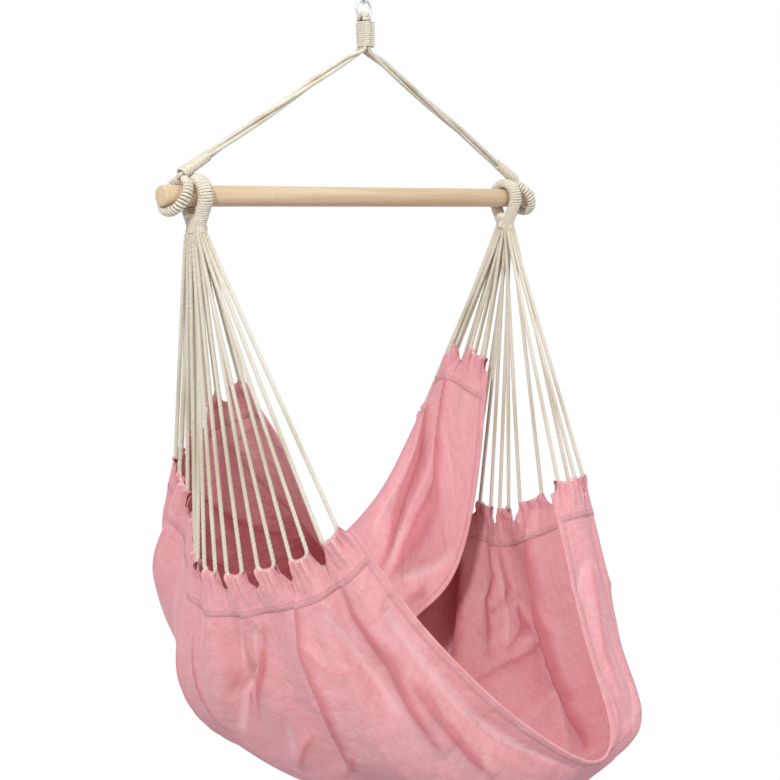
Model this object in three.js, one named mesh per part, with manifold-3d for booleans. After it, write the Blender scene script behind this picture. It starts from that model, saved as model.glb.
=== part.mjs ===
// Hammock chair: a swivel, a steel ring, a whipped rope eye with two legs, a round spreader bar
// and a gathered canvas seat that hangs on twenty-four looped cords.
// Millimetres, +Z up. The origin is the hang point, inside the swivel's upper eye.
// X runs along the spreader bar and the front of the seat faces -Y.

import * as THREE from 'three';
import { mergeVertices } from 'three/addons/utils/BufferGeometryUtils.js';
import Module from 'manifold-3d';

const wasm = await Module();
wasm.setup();

// Driving dimensions

const clearance = 0.3;
const twineRoom = 0.35;
const topTwineRoom = 0.8;
const overrun = 2;
const weldReach = 0.0001;
const leastGain = 1e-9;

const barLength = 760;
const barDiameter = 30;
const barEndRound = 3;
const barDrop = 352;

const swivelWire = 4.5;
const upperEyeBore = 12;
const barrelDiameter = 16.5;
const barrelTop = -19;
const barrelBottom = -44.5;
const barrelWall = 2.4;
const barrelRound = 2;
const collarHeight = 2.7;
const shankDiameter = 6;
const shankHeadDiameter = 10.4;
const shankHeadHeight = 2.6;
const shankHollowHeight = 6;
const lowerEyeReach = 6;

const ringWire = 5;
const ringBore = 24;

const topEyeRope = 9;
const topEyeRise = 1;
const topBodyWidth = 12.4;
const topBodyTaper = 0.85;
const topBodyLength = 41;
const topTwine = 3.2;
const topTurns = 9;
const topPitch = 4.2;

const legCord = 5.7;
const legFootX = 3.3;
const legFootY = 7;
const legBunch = 3.9;
const legTwist = 0.6;
const legSquareRun = 4;

const slingInset = 25;
const slingTilt = 30;
const slingCore = 5.4;
const slingWidth = 9.5;
const slingTwine = 2.8;
const stemCore = 7;
const slingTurns = 10;
const slingSweep = 235;
const stemRise = 9.5;
const stemLength = 50;
const stemTurns = 6;
const stemPitch = 5.4;
const stemWindingStart = 12;

const eyeInset = 60;
const eyeCore = 7.2;
const eyeWidth = 16;
const eyeTwine = 3.6;
const eyeTurns = 14;
const eyeSweep = 260;

const neckTopWidth = 21;
const neckTopDepth = 26;
const neckFootWidth = 15;
const neckFootDepth = 23;
const neckTop = 24;
const neckFoot = 52;
const neckTwine = 3;
const neckTurns = 4;
const neckPitch = 4.3;
const neckFlareWidth = 23;
const neckFlareDepth = 35;
const neckFlareHeight = 5;
const tailDiameter = 5.5;
const tailLength = 13;
const tailDrop = 40;

const seatCord = 5.4;
const slotPitchX = 5.8;
const slotPitchY = 6.1;
const slotColumns = 4;
const slotRows = 6;
const cordCorner = 5;
const cordFootLift = 3.5;
const cordSquareRun = 3;

const seatHalfWidth = 300;
const seatReach = 400;
const seatDrop = 930;
const clothThickness = 2.4;
const tabsPerEnd = 12;
const notchDepth = 20;
const gatherHeight = 9;
const edgeGatherHeight = 4;
const foldWidth = 42;

// The seat's middle skin at rest, from the front hem (first row) to the back hem (last row) and,
// in each row, from the left casing to the right one. Each place is x as a share of the half
// width, y as a share of the reach and the drop below the bar as a share of the seat's drop.
const seatShares = [
  [[-0.783, -0.575, 0.49], [-0.5, -0.725, 0.647], [-0.167, -0.913, 0.785], [0.186, -1.033, 0.869],
    [0.488, -0.963, 0.854], [0.62, -0.738, 0.707], [0.768, -0.48, 0.497]],
  [[-0.9, -0.455, 0.542], [-0.683, -0.613, 0.742], [-0.333, -0.75, 0.888], [0.213, -0.836, 0.938],
    [0.790, -0.917, 0.873], [0.954, -0.713, 0.734], [1.042, -0.467, 0.495]],
  [[-0.993, -0.29, 0.57], [-0.84, -0.4, 0.77], [-0.467, -0.475, 0.931], [0.15, -0.5, 0.981],
    [0.725, -0.561, 0.948], [0.887, -0.413, 0.787], [0.96, -0.195, 0.553]],
  [[-1.047, -0.108, 0.589], [-0.933, -0.15, 0.781], [-0.537, -0.15, 0.94], [0.133, -0.125, 1],
    [0.64, -0.15, 0.946], [0.927, -0.138, 0.781], [0.987, -0.013, 0.576]],
  [[-1.033, 0.065, 0.576], [-1.02, 0.147, 0.776], [-0.628, 0.205, 0.912], [0.117, 0.213, 0.987],
    [0.633, 0.2, 0.91], [0.94, 0.138, 0.751], [1.003, 0.163, 0.557]],
  [[-0.933, 0.175, 0.514], [-0.961, 0.316, 0.712], [-0.622, 0.418, 0.85], [0.1, 0.463, 0.914],
    [0.6, 0.45, 0.822], [0.917, 0.363, 0.66], [1.013, 0.29, 0.495]],
  [[-0.917, 0.305, 0.439], [-0.873, 0.43, 0.589], [-0.567, 0.538, 0.742], [0.083, 0.55, 0.789],
    [0.533, 0.538, 0.705], [0.873, 0.463, 0.561], [0.939, 0.407, 0.426]],
  [[-0.813, 0.298, 0.389], [-0.753, 0.43, 0.504], [-0.417, 0.488, 0.628], [0.073, 0.463, 0.677],
    [0.509, 0.433, 0.611], [0.856, 0.386, 0.477], [0.922, 0.319, 0.369]],
  [[-0.747, 0.198, 0.323], [-0.633, 0.25, 0.43], [-0.283, 0.225, 0.551], [0.067, 0.195, 0.604],
    [0.453, 0.225, 0.548], [0.782, 0.266, 0.43], [0.907, 0.175, 0.277]],
  [[-0.717, 0.048, 0.299], [-0.533, -0.005, 0.409], [-0.25, 0.008, 0.589], [0.04, -0.063, 0.716],
    [0.367, -0.03, 0.725], [0.683, -0.048, 0.624], [0.917, -0.005, 0.305]],
];

// The main folds. Each runs along the cloth between two shares of the way from the left casing
// to the right one, and lies at one share of the way from the front hem to the back hem where
// it starts and at another where it ends. Its height is a share of the fold width, outwards.
const foldShares = [
  { along: [0.02, 0.6], across: [0.14, 0.08], height: 0.36 },
  { along: [0.02, 0.55], across: [0.25, 0.2], height: -0.34 },
  { along: [0.02, 0.45], across: [0.36, 0.33], height: 0.26 },
  { along: [0.03, 0.4], across: [0.52, 0.5], height: -0.26 },
  { along: [0.62, 0.99], across: [0.17, 0.2], height: -0.26 },
  { along: [0.55, 0.98], across: [0.27, 0.28], height: 0.3 },
  { along: [0.58, 0.98], across: [0.33, 0.4], height: -0.28 },
  { along: [0.45, 0.98], across: [0.86, 0.87], height: 0.2 },
  { along: [0.1, 0.6], across: [0.7, 0.7], height: 0.24 },
];

// Places along the cloth, from the left casing to the right one, where it has a row of points
const clothStationShares = [
  0, 0.045, 0.095, 0.15, 0.21, 0.28, 0.36, 0.45, 0.54, 0.63, 0.71, 0.78, 0.845, 0.905, 0.955, 1,
];
const gatherPeakShare = 0.08;
const gatherEndShare = 0.34;
const rowsPerTab = 3;
const tabEndShare = 1 / 4;
const foldFade = 0.7;
const skinStep = 0.001;
const edgeStep = 0.01;

// Facets: sides round a section, and steps along a length
const twineSides = 5;
const cordSides = 6;
const coreSides = 8;
const wireSides = 10;
const stemSides = 12;
const bodySides = 20;
const barrelSides = 24;
const barSides = 32;
const coreSteps = 28;
const ringSteps = 32;
const upperArcSteps = 12;
const arcSteps = 10;
const legSteps = 11;
const ringTurnSteps = 8;
const ovalTurnSteps = 10;

// Materials

const finish = (color, roughness, metalness = 0) =>
  new THREE.MeshStandardMaterial({ color, roughness, metalness });
const steel = () => finish(0xc9ccce, 0.25, 1);
const cotton = () => finish(0xe6dcc8, 0.95);
const beech = () => finish(0xd9b58a, 0.6);
const canvas = () => finish(0xdb949c, 0.9);

// Closed triangle meshes, and solids made from them

const weld = (geometry) => {
  const bare = geometry.clone();
  bare.deleteAttribute('normal');
  bare.deleteAttribute('uv');
  const merged = mergeVertices(bare, weldReach);
  const kept = [];
  const corners = merged.index.array;
  for (let k = 0; k < corners.length; k += 3) {
    const [a, b, c] = corners.slice(k, k + 3);
    if (a !== b && b !== c && c !== a) kept.push(a, b, c);
  }
  merged.setIndex(kept);
  merged.computeVertexNormals();
  return merged;
};

const toSolid = (geometry) => {
  const welded = weld(geometry);
  return new wasm.Manifold(new wasm.Mesh({
    numProp: 3,
    vertProperties: new Float32Array(welded.attributes.position.array),
    triVerts: new Uint32Array(welded.index.array),
  }));
};

const toGeometry = (solid) => {
  const mesh = solid.getMesh();
  const geometry = new THREE.BufferGeometry();
  geometry.setAttribute('position', new THREE.BufferAttribute(new Float32Array(mesh.vertProperties), 3));
  geometry.setIndex(new THREE.BufferAttribute(new Uint32Array(mesh.triVerts), 1));
  geometry.computeVertexNormals();
  return geometry;
};

const join = (...bodies) =>
  toGeometry(bodies.map(toSolid).reduce((whole, next) => whole.add(next)));
const cut = (body, ...tools) =>
  toGeometry(tools.map(toSolid).reduce((whole, next) => whole.subtract(next), toSolid(body)));

const piece = (name, geometry, material) => {
  const mesh = new THREE.Mesh(weld(geometry), material);
  mesh.name = name;
  return mesh;
};

const vector = (x, y, z) => new THREE.Vector3(x, y, z);
const radians = THREE.MathUtils.degToRad;

// A tube keeps to the stations it is given, each section square to the way through its station

class Route extends THREE.Curve {
  constructor(stations) {
    super();
    this.stations = stations;
  }

  getPointAt(t) {
    const last = this.stations.length - 1;
    return this.stations[Math.round(t * last)].clone();
  }

  getTangentAt(t) {
    const last = this.stations.length - 1;
    const here = Math.round(t * last);
    const way = (from, to) => this.stations[to].clone().sub(this.stations[from]).normalize();
    const into = way(Math.max(here - 1, 0), Math.max(here, 1));
    const out = way(Math.min(here, last - 1), Math.min(here + 1, last));
    return into.add(out).normalize();
  }
}

const polygon = (diameter, sides) => {
  const corners = [];
  for (let k = 0; k < sides; k += 1) {
    const angle = 2 * Math.PI * k / sides;
    corners.push(new THREE.Vector2(Math.cos(angle), Math.sin(angle)).multiplyScalar(diameter / 2));
  }
  return new THREE.Shape(corners);
};

const tube = (stations, diameter, sides) => new THREE.ExtrudeGeometry(polygon(diameter, sides), {
  steps: stations.length - 1,
  extrudePath: new Route(stations),
});

const reportLeastGap = (name, stations, diameter, perTurn) => {
  let least = Infinity;
  for (let i = 0; i < stations.length; i += 1) {
    for (let j = i + Math.ceil(perTurn / 2); j < stations.length; j += 1) {
      least = Math.min(least, stations[i].distanceTo(stations[j]));
    }
  }
  console.log(`${name}: least gap to itself ${(least - diameter).toFixed(2)} mm`);
};

// Both ends of a winding run straight for one diameter
const withStraightEnds = (stations, diameter) => {
  const [first, second] = stations;
  const [beforeLast, last] = stations.slice(-2);
  const start = first.clone().sub(second).setLength(diameter).add(first);
  const end = last.clone().sub(beforeLast).setLength(diameter).add(last);
  return [start, ...stations, end];
};

const turned = (points, sides, way) => {
  const profile = points.map(([radius, height]) => new THREE.Vector2(radius, height));
  const geometry = new THREE.LatheGeometry(profile, sides);
  if (way === 'x') geometry.rotateZ(-Math.PI / 2);
  else geometry.rotateX(Math.PI / 2);
  return geometry;
};

const disc = (diameter, from, to, sides = bodySides) =>
  turned([[0, from], [diameter / 2, from], [diameter / 2, to], [0, to]], sides, 'z');

// An upright oval body from a list of widths, depths and heights, from its lowest level up
const ovalBody = (levels, sides = bodySides) => {
  const positions = [];
  const corners = [];
  levels.forEach(([width, depth, height]) => {
    for (let k = 0; k < sides; k += 1) {
      const angle = 2 * Math.PI * k / sides;
      positions.push(width / 2 * Math.cos(angle), depth / 2 * Math.sin(angle), height);
    }
  });
  const low = levels.length * sides;
  positions.push(0, 0, levels[0][2], 0, 0, levels.at(-1)[2]);
  for (let k = 0; k < sides; k += 1) {
    const next = (k + 1) % sides;
    for (let level = 0; level < levels.length - 1; level += 1) {
      const base = level * sides;
      corners.push(base + k, base + next, base + sides + k);
      corners.push(base + next, base + sides + next, base + sides + k);
    }
    corners.push(low, next, k);
    corners.push(low + 1, low - sides + k, low - sides + next);
  }
  const geometry = new THREE.BufferGeometry();
  geometry.setAttribute('position', new THREE.Float32BufferAttribute(positions, 3));
  geometry.setIndex(corners);
  return geometry;
};

// The width and depth of an oval body at a height
const sizeAt = (levels, height) => {
  const above = Math.max(levels.findIndex((level) => level[2] >= height), 1);
  const [low, high] = [levels[above - 1], levels[above]];
  const share = THREE.MathUtils.clamp((height - low[2]) / (high[2] - low[2]), 0, 1);
  return [0, 1].map((k) => THREE.MathUtils.lerp(low[k], high[k], share));
};

// Windings

// A winding stands off its core by a little room and by the sag of its straight steps
const standOff = (diameter, coreReach, perTurn, room = twineRoom) =>
  (coreReach + diameter / 2 + room) / Math.cos(Math.PI / perTurn);

// Twine wound round a rope ring that lies square to the bar. The ring's angle is counted from
// straight up, towards the back, and the coil reaches as far along the bar as coilReach says.
const ringWinding = ({
  name, ringRadius, coilRadius, coilReach = coilRadius, diameter, turns, sweep, facing,
}) => {
  const perTurn = ringTurnSteps;
  const steps = turns * perTurn;
  const stations = [];
  for (let k = 0; k <= steps; k += 1) {
    const round = radians(facing + sweep * (k / steps - 1 / 2));
    const coil = 2 * Math.PI * k / perTurn;
    const reach = ringRadius + coilRadius * Math.cos(coil);
    stations.push(vector(coilReach * Math.sin(coil), reach * Math.sin(round), reach * Math.cos(round)));
  }
  reportLeastGap(name, stations, diameter, perTurn);
  return tube(withStraightEnds(stations, diameter), diameter, twineSides);
};

// Twine wound round an upright oval body, from its top down. The core's width and depth are
// those that the body has at a height.
const ovalWinding = ({ name, coreAt, diameter, turns, top, pitch, perTurn, room }) => {
  const stations = [];
  for (let k = 0; k <= turns * perTurn; k += 1) {
    const angle = 2 * Math.PI * k / perTurn;
    const height = top - pitch * k / perTurn;
    const [width, depth] = coreAt(height);
    stations.push(vector(
      standOff(diameter, width / 2, perTurn, room) * Math.cos(angle),
      standOff(diameter, depth / 2, perTurn, room) * Math.sin(angle),
      height,
    ));
  }
  reportLeastGap(name, stations, diameter, perTurn);
  return tube(withStraightEnds(stations, diameter), diameter, twineSides);
};

// Swivel and ring

const eyeArc = (upperEyeBore + swivelWire) / 2;
const upperArcCentre = -upperEyeBore / 2;
const collarTop = barrelBottom - clearance;
const collarBottom = collarTop - collarHeight;
const lowerArcCentre = collarBottom - clearance - ringWire / 2 - lowerEyeReach / 4;
const lowerEyeWire = lowerArcCentre - lowerEyeReach;
const ringCircle = (ringBore + ringWire) / 2;
const ringCentre = lowerEyeWire + (swivelWire + ringWire) / 2 + clearance - ringCircle;
const ringLowWire = ringCentre - ringCircle;

const arch = (centre, radius, from, to, count) => {
  const stations = [];
  for (let k = 0; k <= count; k += 1) {
    const angle = radians(from + (to - from) * k / count);
    stations.push(vector(0, radius * Math.cos(angle), centre + radius * Math.sin(angle)));
  }
  return stations;
};

const swivelBody = () => {
  const outer = barrelDiameter / 2;
  const barrel = turned([
    [0, barrelBottom], [outer - barrelRound, barrelBottom], [outer, barrelBottom + barrelRound],
    [outer, barrelTop - barrelRound], [outer - barrelRound, barrelTop], [0, barrelTop],
  ], barrelSides, 'z');
  const hollowFloor = barrelBottom + barrelWall;
  const hollow = disc(barrelDiameter - 2 * barrelWall, hollowFloor, hollowFloor + shankHollowHeight);
  const mouth = disc(shankDiameter + 2 * clearance, barrelBottom - overrun, hollowFloor + overrun);
  const footHeight = barrelTop - swivelWire;
  const footReach = outer - barrelRound - swivelWire / 2;
  const eye = tube([
    vector(0, footReach, footHeight),
    ...arch(upperArcCentre, eyeArc, 0, 180, upperArcSteps),
    vector(0, -footReach, footHeight),
  ], swivelWire, wireSides);
  return piece('swivel_body', cut(join(barrel, eye), hollow, mouth), steel());
};

const swivelLowerEye = () => {
  const hollowFloor = barrelBottom + barrelWall;
  const headFoot = hollowFloor + clearance;
  const collar = disc(barrelDiameter, collarBottom, collarTop, barrelSides);
  const shank = disc(shankDiameter, collarBottom + clearance, headFoot + clearance);
  const head = disc(shankHeadDiameter, headFoot, headFoot + shankHeadHeight);
  const bow = tube([
    vector(0, -lowerEyeReach, collarTop - collarHeight / 2),
    ...arch(lowerArcCentre, lowerEyeReach, 180, 360, arcSteps),
    vector(0, lowerEyeReach, collarTop - collarHeight / 2),
  ], swivelWire, wireSides);
  return piece('swivel_lower_eye', join(collar, shank, head, bow), steel());
};

const ring = () => {
  const geometry = new THREE.TorusGeometry(ringCircle, ringWire / 2, wireSides, ringSteps);
  geometry.rotateX(Math.PI / 2);
  geometry.translate(0, 0, ringCentre);
  return piece('ring', geometry, steel());
};

// Top rope eye

const topLoopReach = (ringWire + topEyeRope) / 2 + clearance;
const topBodyDepth = 2 * topLoopReach + topEyeRope;
const topBodyTop = ringLowWire - ringWire / 2 - clearance;
const topBodyFoot = topBodyTop - topBodyLength;

const topBodyLevels = [
  [topBodyWidth * topBodyTaper, topBodyDepth * topBodyTaper, topBodyFoot],
  [topBodyWidth, topBodyDepth, topBodyTop],
];

const topEye = () => {
  const loopFoot = topBodyTop - topBodyLength / 3;
  const loop = tube([
    vector(0, -topLoopReach * topBodyTaper, loopFoot),
    ...arch(ringLowWire, topLoopReach, 180, 0, arcSteps).map((place) => {
      const rise = (place.z - ringLowWire) / topLoopReach * topEyeRise;
      return vector(place.x, place.y, place.z + rise);
    }),
    vector(0, topLoopReach * topBodyTaper, loopFoot),
  ], topEyeRope, wireSides);
  const body = ovalBody(topBodyLevels);
  return piece('top_eye', join(loop, body), cotton());
};

const topEyeWinding = () => piece('top_eye_winding', ovalWinding({
  name: 'top_eye_winding',
  coreAt: (height) => sizeAt(topBodyLevels, height),
  diameter: topTwine,
  turns: topTurns,
  top: topBodyTop - topTwine / 2,
  pitch: topPitch,
  perTurn: ovalTurnSteps,
  room: topTwineRoom,
}), cotton());

// Slings, one at each end of the bar, each with a stem that points up the leg

const barRadius = barDiameter / 2;
const slingCoil = standOff(slingTwine, slingCore / 2, ringTurnSteps);
const slingCoilReach = standOff(slingTwine, slingWidth / 2, ringTurnSteps);
const slingLean = radians(slingTilt);
const slingRoom = Math.hypot(slingCoilReach * Math.sin(slingLean), slingCoil * Math.cos(slingLean));
const slingRing = (barRadius + clearance + slingRoom + slingTwine / 2) / Math.cos(slingLean);
const slingCentreX = barLength / 2 - slingInset;

const tilted = (geometry, side) => {
  geometry.rotateY(-side * slingLean);
  geometry.translate(side * slingCentreX, 0, -barDrop);
  return geometry;
};

const stemBase = (side) => vector(
  side * (slingCentreX - slingRing * Math.sin(slingLean)),
  0,
  -barDrop + slingRing * Math.cos(slingLean) + stemRise,
);
const legTop = (side) => vector(side * legFootX, 0, topBodyFoot - clearance);
const stemWay = (side) => legTop(side).sub(stemBase(side)).normalize();
const stemEnd = (side) => stemBase(side).addScaledVector(stemWay(side), stemLength);

const slingParts = (label, side) => {
  const coreRing = new THREE.TorusGeometry(slingRing, slingCore / 2, coreSides, coreSteps);
  coreRing.rotateY(Math.PI / 2);
  coreRing.scale(slingWidth / slingCore, 1, 1);
  tilted(coreRing, side);
  const base = stemBase(side);
  const stem = tube([
    base.clone().add(vector(0, 0, -stemRise - slingCore / 4)), base, stemEnd(side),
  ], stemCore, stemSides);
  const ringTwine = ringWinding({
    name: `sling_winding_${label}`,
    ringRadius: slingRing,
    coilRadius: slingCoil,
    coilReach: slingCoilReach,
    diameter: slingTwine,
    turns: slingTurns,
    sweep: slingSweep,
    facing: 180,
  });
  const stemTwine = ovalWinding({
    name: `stem_winding_${label}`,
    coreAt: () => [stemCore, stemCore],
    diameter: slingTwine,
    turns: stemTurns,
    top: stemWindingStart + stemTurns * stemPitch,
    pitch: stemPitch,
    perTurn: ringTurnSteps,
  });
  const upright = vector(0, 0, 1);
  stemTwine.applyQuaternion(new THREE.Quaternion().setFromUnitVectors(upright, stemWay(side)));
  stemTwine.translate(base.x, base.y, base.z);
  return [
    piece(`sling_${label}`, join(coreRing, stem), cotton()),
    piece(`sling_winding_${label}`, tilted(ringTwine, side), cotton()),
    piece(`stem_winding_${label}`, stemTwine, cotton()),
  ];
};

// Legs: three cords on each side, side by side under the top eye and bunched at the stem

const legCords = (label, side) => {
  const top = legTop(side);
  const way = stemWay(side);
  const foot = stemEnd(side).addScaledVector(way, clearance);
  const across = vector(0, 1, 0);
  const over = across.clone().cross(way).normalize();
  return [0, 1, 2].map((strand) => {
    const place = (share) => {
      const turn = 2 * Math.PI * (strand / 3 + legTwist * share + 1 / 4);
      return top.clone().lerp(foot, share)
        .addScaledVector(across, legBunch * Math.cos(turn))
        .addScaledVector(over, legBunch * Math.sin(turn));
    };
    const start = vector(top.x, legFootY * [0, -1, 1][strand], top.z);
    const stations = [start, start.clone().add(vector(0, 0, -legSquareRun))];
    for (let k = 1; k < legSteps; k += 1) stations.push(place(k / legSteps));
    const end = place(1);
    stations.push(end.clone().addScaledVector(way, legSquareRun), end);
    return piece(`leg_${label}_${strand + 1}`, tube(stations, legCord, cordSides), cotton());
  });
};

// Spreader bar

const bar = () => {
  const end = barLength / 2;
  const round = barEndRound * (1 - Math.SQRT1_2);
  const half = [
    [barRadius, end - barEndRound], [barRadius - round, end - round], [barRadius - barEndRound, end],
    [0, end],
  ];
  const mirror = half.map(([radius, place]) => [radius, -place]).reverse();
  const geometry = turned([...mirror, ...half], barSides, 'x');
  geometry.translate(0, 0, -barDrop);
  return piece('spreader_bar', geometry, beech());
};

// Seat eyes round the bar, each with its whipped neck

const eyeCoil = standOff(eyeTwine, eyeCore / 2, ringTurnSteps);
const eyeRing = barRadius + clearance + eyeCoil + eyeTwine / 2;
const eyeX = barLength / 2 - eyeInset;

const seatEyeParts = (label, side) => {
  const place = (geometry) => geometry.translate(side * eyeX, 0, -barDrop);
  const coreRing = new THREE.TorusGeometry(eyeRing, eyeCore / 2, coreSides, coreSteps);
  coreRing.rotateY(Math.PI / 2);
  coreRing.scale(eyeWidth / eyeCore, 1, 1);
  const neckSpan = neckFoot - neckFlareHeight - neckTop;
  const neckLevels = [
    [neckFlareWidth, neckFlareDepth, -neckFoot],
    [neckFootWidth, neckFootDepth, -neckFoot + neckFlareHeight],
    [neckTopWidth, neckTopDepth, -neckTop - neckSpan / 4],
    [neckTopWidth / 2, neckTopDepth, -neckTop],
  ];
  const neckTwineGeometry = ovalWinding({
    name: `neck_winding_${label}`,
    coreAt: (height) => sizeAt(neckLevels, height),
    diameter: neckTwine,
    turns: neckTurns,
    top: -neckFoot + neckFlareHeight + neckTwine + neckTurns * neckPitch,
    pitch: neckPitch,
    perTurn: ovalTurnSteps,
  });
  const ringTwine = ringWinding({
    name: `seat_eye_winding_${label}`,
    ringRadius: eyeRing,
    coilRadius: eyeCoil,
    coilReach: standOff(eyeTwine, eyeWidth / 2, ringTurnSteps),
    diameter: eyeTwine,
    turns: eyeTurns,
    sweep: eyeSweep,
    facing: 0,
  });
  const tail = tube([
    vector(0, 0, 0),
    vector(-side * tailLength / 4, 0, 0),
    vector(-side * tailLength / 2, 0, -tailLength / 3),
    vector(-side * tailLength / 2, 0, -tailLength),
  ], tailDiameter, coreSides);
  const tailReach = standOff(neckTwine, sizeAt(neckLevels, -tailDrop)[0] / 2, ovalTurnSteps)
    + neckTwine / 2 + 2 * clearance;
  tail.translate(-side * tailReach, 0, -tailDrop);
  return [
    piece(`seat_eye_${label}`, place(join(coreRing, ovalBody(neckLevels))), cotton()),
    piece(`seat_eye_winding_${label}`, place(ringTwine), cotton()),
    piece(`neck_winding_${label}`, place(neckTwineGeometry), cotton()),
    piece(`tail_${label}`, place(tail), cotton()),
  ];
};

// The seat's skin: u runs from the left casing to the right one, v from the front hem back

const seatLines = seatShares[0].map((unused, column) => new THREE.CatmullRomCurve3(
  seatShares.map((row) => {
    const [x, y, drop] = row[column];
    return vector(x * seatHalfWidth, y * seatReach, -barDrop - drop * seatDrop);
  }), false, 'catmullrom', 0.5));

const smoothSkin = (u, v) => new THREE.CatmullRomCurve3(
  seatLines.map((line) => line.getPoint(v)), false, 'catmullrom', 0.5).getPoint(u);

const skinNormal = (u, v) => {
  const low = (value) => Math.max(value - skinStep, 0);
  const high = (value) => Math.min(value + skinStep, 1);
  const alongU = smoothSkin(high(u), v).sub(smoothSkin(low(u), v));
  const alongV = smoothSkin(u, high(v)).sub(smoothSkin(u, low(v)));
  return alongV.cross(alongU).normalize();
};

const ramp = (value, from, to) => THREE.MathUtils.smoothstep(value, from, to);

const foldHeight = (u, v) => foldShares.reduce((height, fold) => {
  const [start, end] = fold.along;
  const share = (u - start) / (end - start);
  if (share <= 0 || share >= 1) return height;
  const centre = THREE.MathUtils.lerp(...fold.across, share);
  const away = (v - centre) * seatDrop / foldWidth;
  const fade = Math.sin(Math.PI * share) ** foldFade;
  return height + fold.height * foldWidth * fade * Math.exp(-away * away / 2);
}, 0);

const gather = (u, v) => {
  const near = Math.min(u, 1 - u);
  const rise = ramp(near, 0, gatherPeakShare);
  const fade = 1 - ramp(near, gatherPeakShare, gatherEndShare);
  const height = THREE.MathUtils.lerp(edgeGatherHeight, gatherHeight, rise) * fade;
  return -height * Math.cos(2 * Math.PI * tabsPerEnd * v);
};

// Between two tabs the casing's edge drops back into a notch, but not at the hems
const notch = (v) => {
  const tab = v * tabsPerEnd;
  if (tab < 1 / 2 || tab > tabsPerEnd - 1 / 2) return 0;
  return notchDepth * Math.max(Math.cos(2 * Math.PI * tab), 0);
};

// The way into the cloth from one of its two casing edges, square to the edge
const inwardFrom = (u, v) => {
  const edge = smoothSkin(u, v + edgeStep).sub(smoothSkin(u, v - edgeStep)).normalize();
  const inward = smoothSkin(Math.abs(u - edgeStep), v).sub(smoothSkin(u, v));
  return inward.addScaledVector(edge, -inward.dot(edge)).normalize();
};

const seatPlace = (u, v) => {
  const point = smoothSkin(u, v);
  if ((u === 0 || u === 1) && notch(v) > 0) point.addScaledVector(inwardFrom(u, v), notch(v));
  return point.addScaledVector(skinNormal(u, v), foldHeight(u, v) + gather(u, v));
};

// Each tab has a row where it starts and one at each end of its straight edge
const rowShare = (row) => {
  const tab = Math.floor(row / rowsPerTab);
  const within = [0, tabEndShare, 1 - tabEndShare][row % rowsPerTab];
  return (tab + within) / tabsPerEnd;
};

const seat = () => {
  const rows = tabsPerEnd * rowsPerTab;
  const columns = clothStationShares.length - 1;
  const grid = clothStationShares.map((u) =>
    Array.from({ length: rows + 1 }, (unused, row) => seatPlace(u, rowShare(row))));
  const normalAt = (i, j) => {
    const alongU = grid[Math.min(i + 1, columns)][j].clone().sub(grid[Math.max(i - 1, 0)][j]);
    const alongV = grid[i][Math.min(j + 1, rows)].clone().sub(grid[i][Math.max(j - 1, 0)]);
    return alongV.cross(alongU).normalize();
  };
  const positions = [];
  for (const side of [1, -1]) {
    for (let i = 0; i <= columns; i += 1) {
      for (let j = 0; j <= rows; j += 1) {
        const place = grid[i][j].clone().addScaledVector(normalAt(i, j), side * clothThickness / 2);
        positions.push(place.x, place.y, place.z);
      }
    }
  }
  const layer = (columns + 1) * (rows + 1);
  const at = (i, j, back) => back * layer + i * (rows + 1) + j;
  const corners = [];
  const quad = (a, b, c, d) => corners.push(a, b, c, a, c, d);
  for (let i = 0; i < columns; i += 1) {
    for (let j = 0; j < rows; j += 1) {
      quad(at(i, j, 0), at(i, j + 1, 0), at(i + 1, j + 1, 0), at(i + 1, j, 0));
      quad(at(i, j, 1), at(i + 1, j, 1), at(i + 1, j + 1, 1), at(i, j + 1, 1));
    }
    quad(at(i, 0, 0), at(i + 1, 0, 0), at(i + 1, 0, 1), at(i, 0, 1));
    quad(at(i + 1, rows, 0), at(i, rows, 0), at(i, rows, 1), at(i + 1, rows, 1));
  }
  for (let j = 0; j < rows; j += 1) {
    quad(at(0, j + 1, 0), at(0, j, 0), at(0, j, 1), at(0, j + 1, 1));
    quad(at(columns, j, 0), at(columns, j + 1, 0), at(columns, j + 1, 1), at(columns, j, 1));
  }
  const geometry = new THREE.BufferGeometry();
  geometry.setAttribute('position', new THREE.Float32BufferAttribute(positions, 3));
  geometry.setIndex(corners);
  return piece('seat', geometry, canvas());
};

// Seat cords. Each goes from a slot under the neck down to a tab, lies on the tab's edge and
// goes back up to the slot beside its first.

const slots = () => {
  const places = [];
  for (let row = 0; row < slotRows; row += 1) {
    for (let column = 0; column < slotColumns; column += 1) {
      places.push(new THREE.Vector2(
        (column - (slotColumns - 1) / 2) * slotPitchX, (row - (slotRows - 1) / 2) * slotPitchY));
    }
  }
  return places;
};

// Where a cord comes down at a tab, touches the middle of its edge and goes up again
const tabFeet = (side, tab) => {
  const u = side < 0 ? 0 : 1;
  const touch = (seatCord + clothThickness) / 2;
  const [from, to] = [1, 2].map((row) => rowShare(tab * rowsPerTab + row));
  const outward = inwardFrom(u, (from + to) / 2).negate();
  const [front, back] = [from, to].map((v) => seatPlace(u, v).addScaledVector(outward, touch));
  const middle = front.clone().lerp(back, 1 / 2);
  return [
    front.addScaledVector(outward, cordFootLift), middle, back.addScaledVector(outward, cordFootLift),
  ];
};

// Lines keep apart all the way down when no two of them would gain by trading slots
const assignSlots = (free, runs) => {
  const order = free.slice(0, runs.length);
  let traded = true;
  while (traded) {
    traded = false;
    for (let i = 0; i < order.length; i += 1) {
      for (let j = i + 1; j < order.length; j += 1) {
        const gain = order[i].clone().sub(order[j]).dot(runs[j].clone().sub(runs[i]));
        if (gain > leastGain) {
          [order[i], order[j]] = [order[j], order[i]];
          traded = true;
        }
      }
    }
  }
  return order;
};

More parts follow.
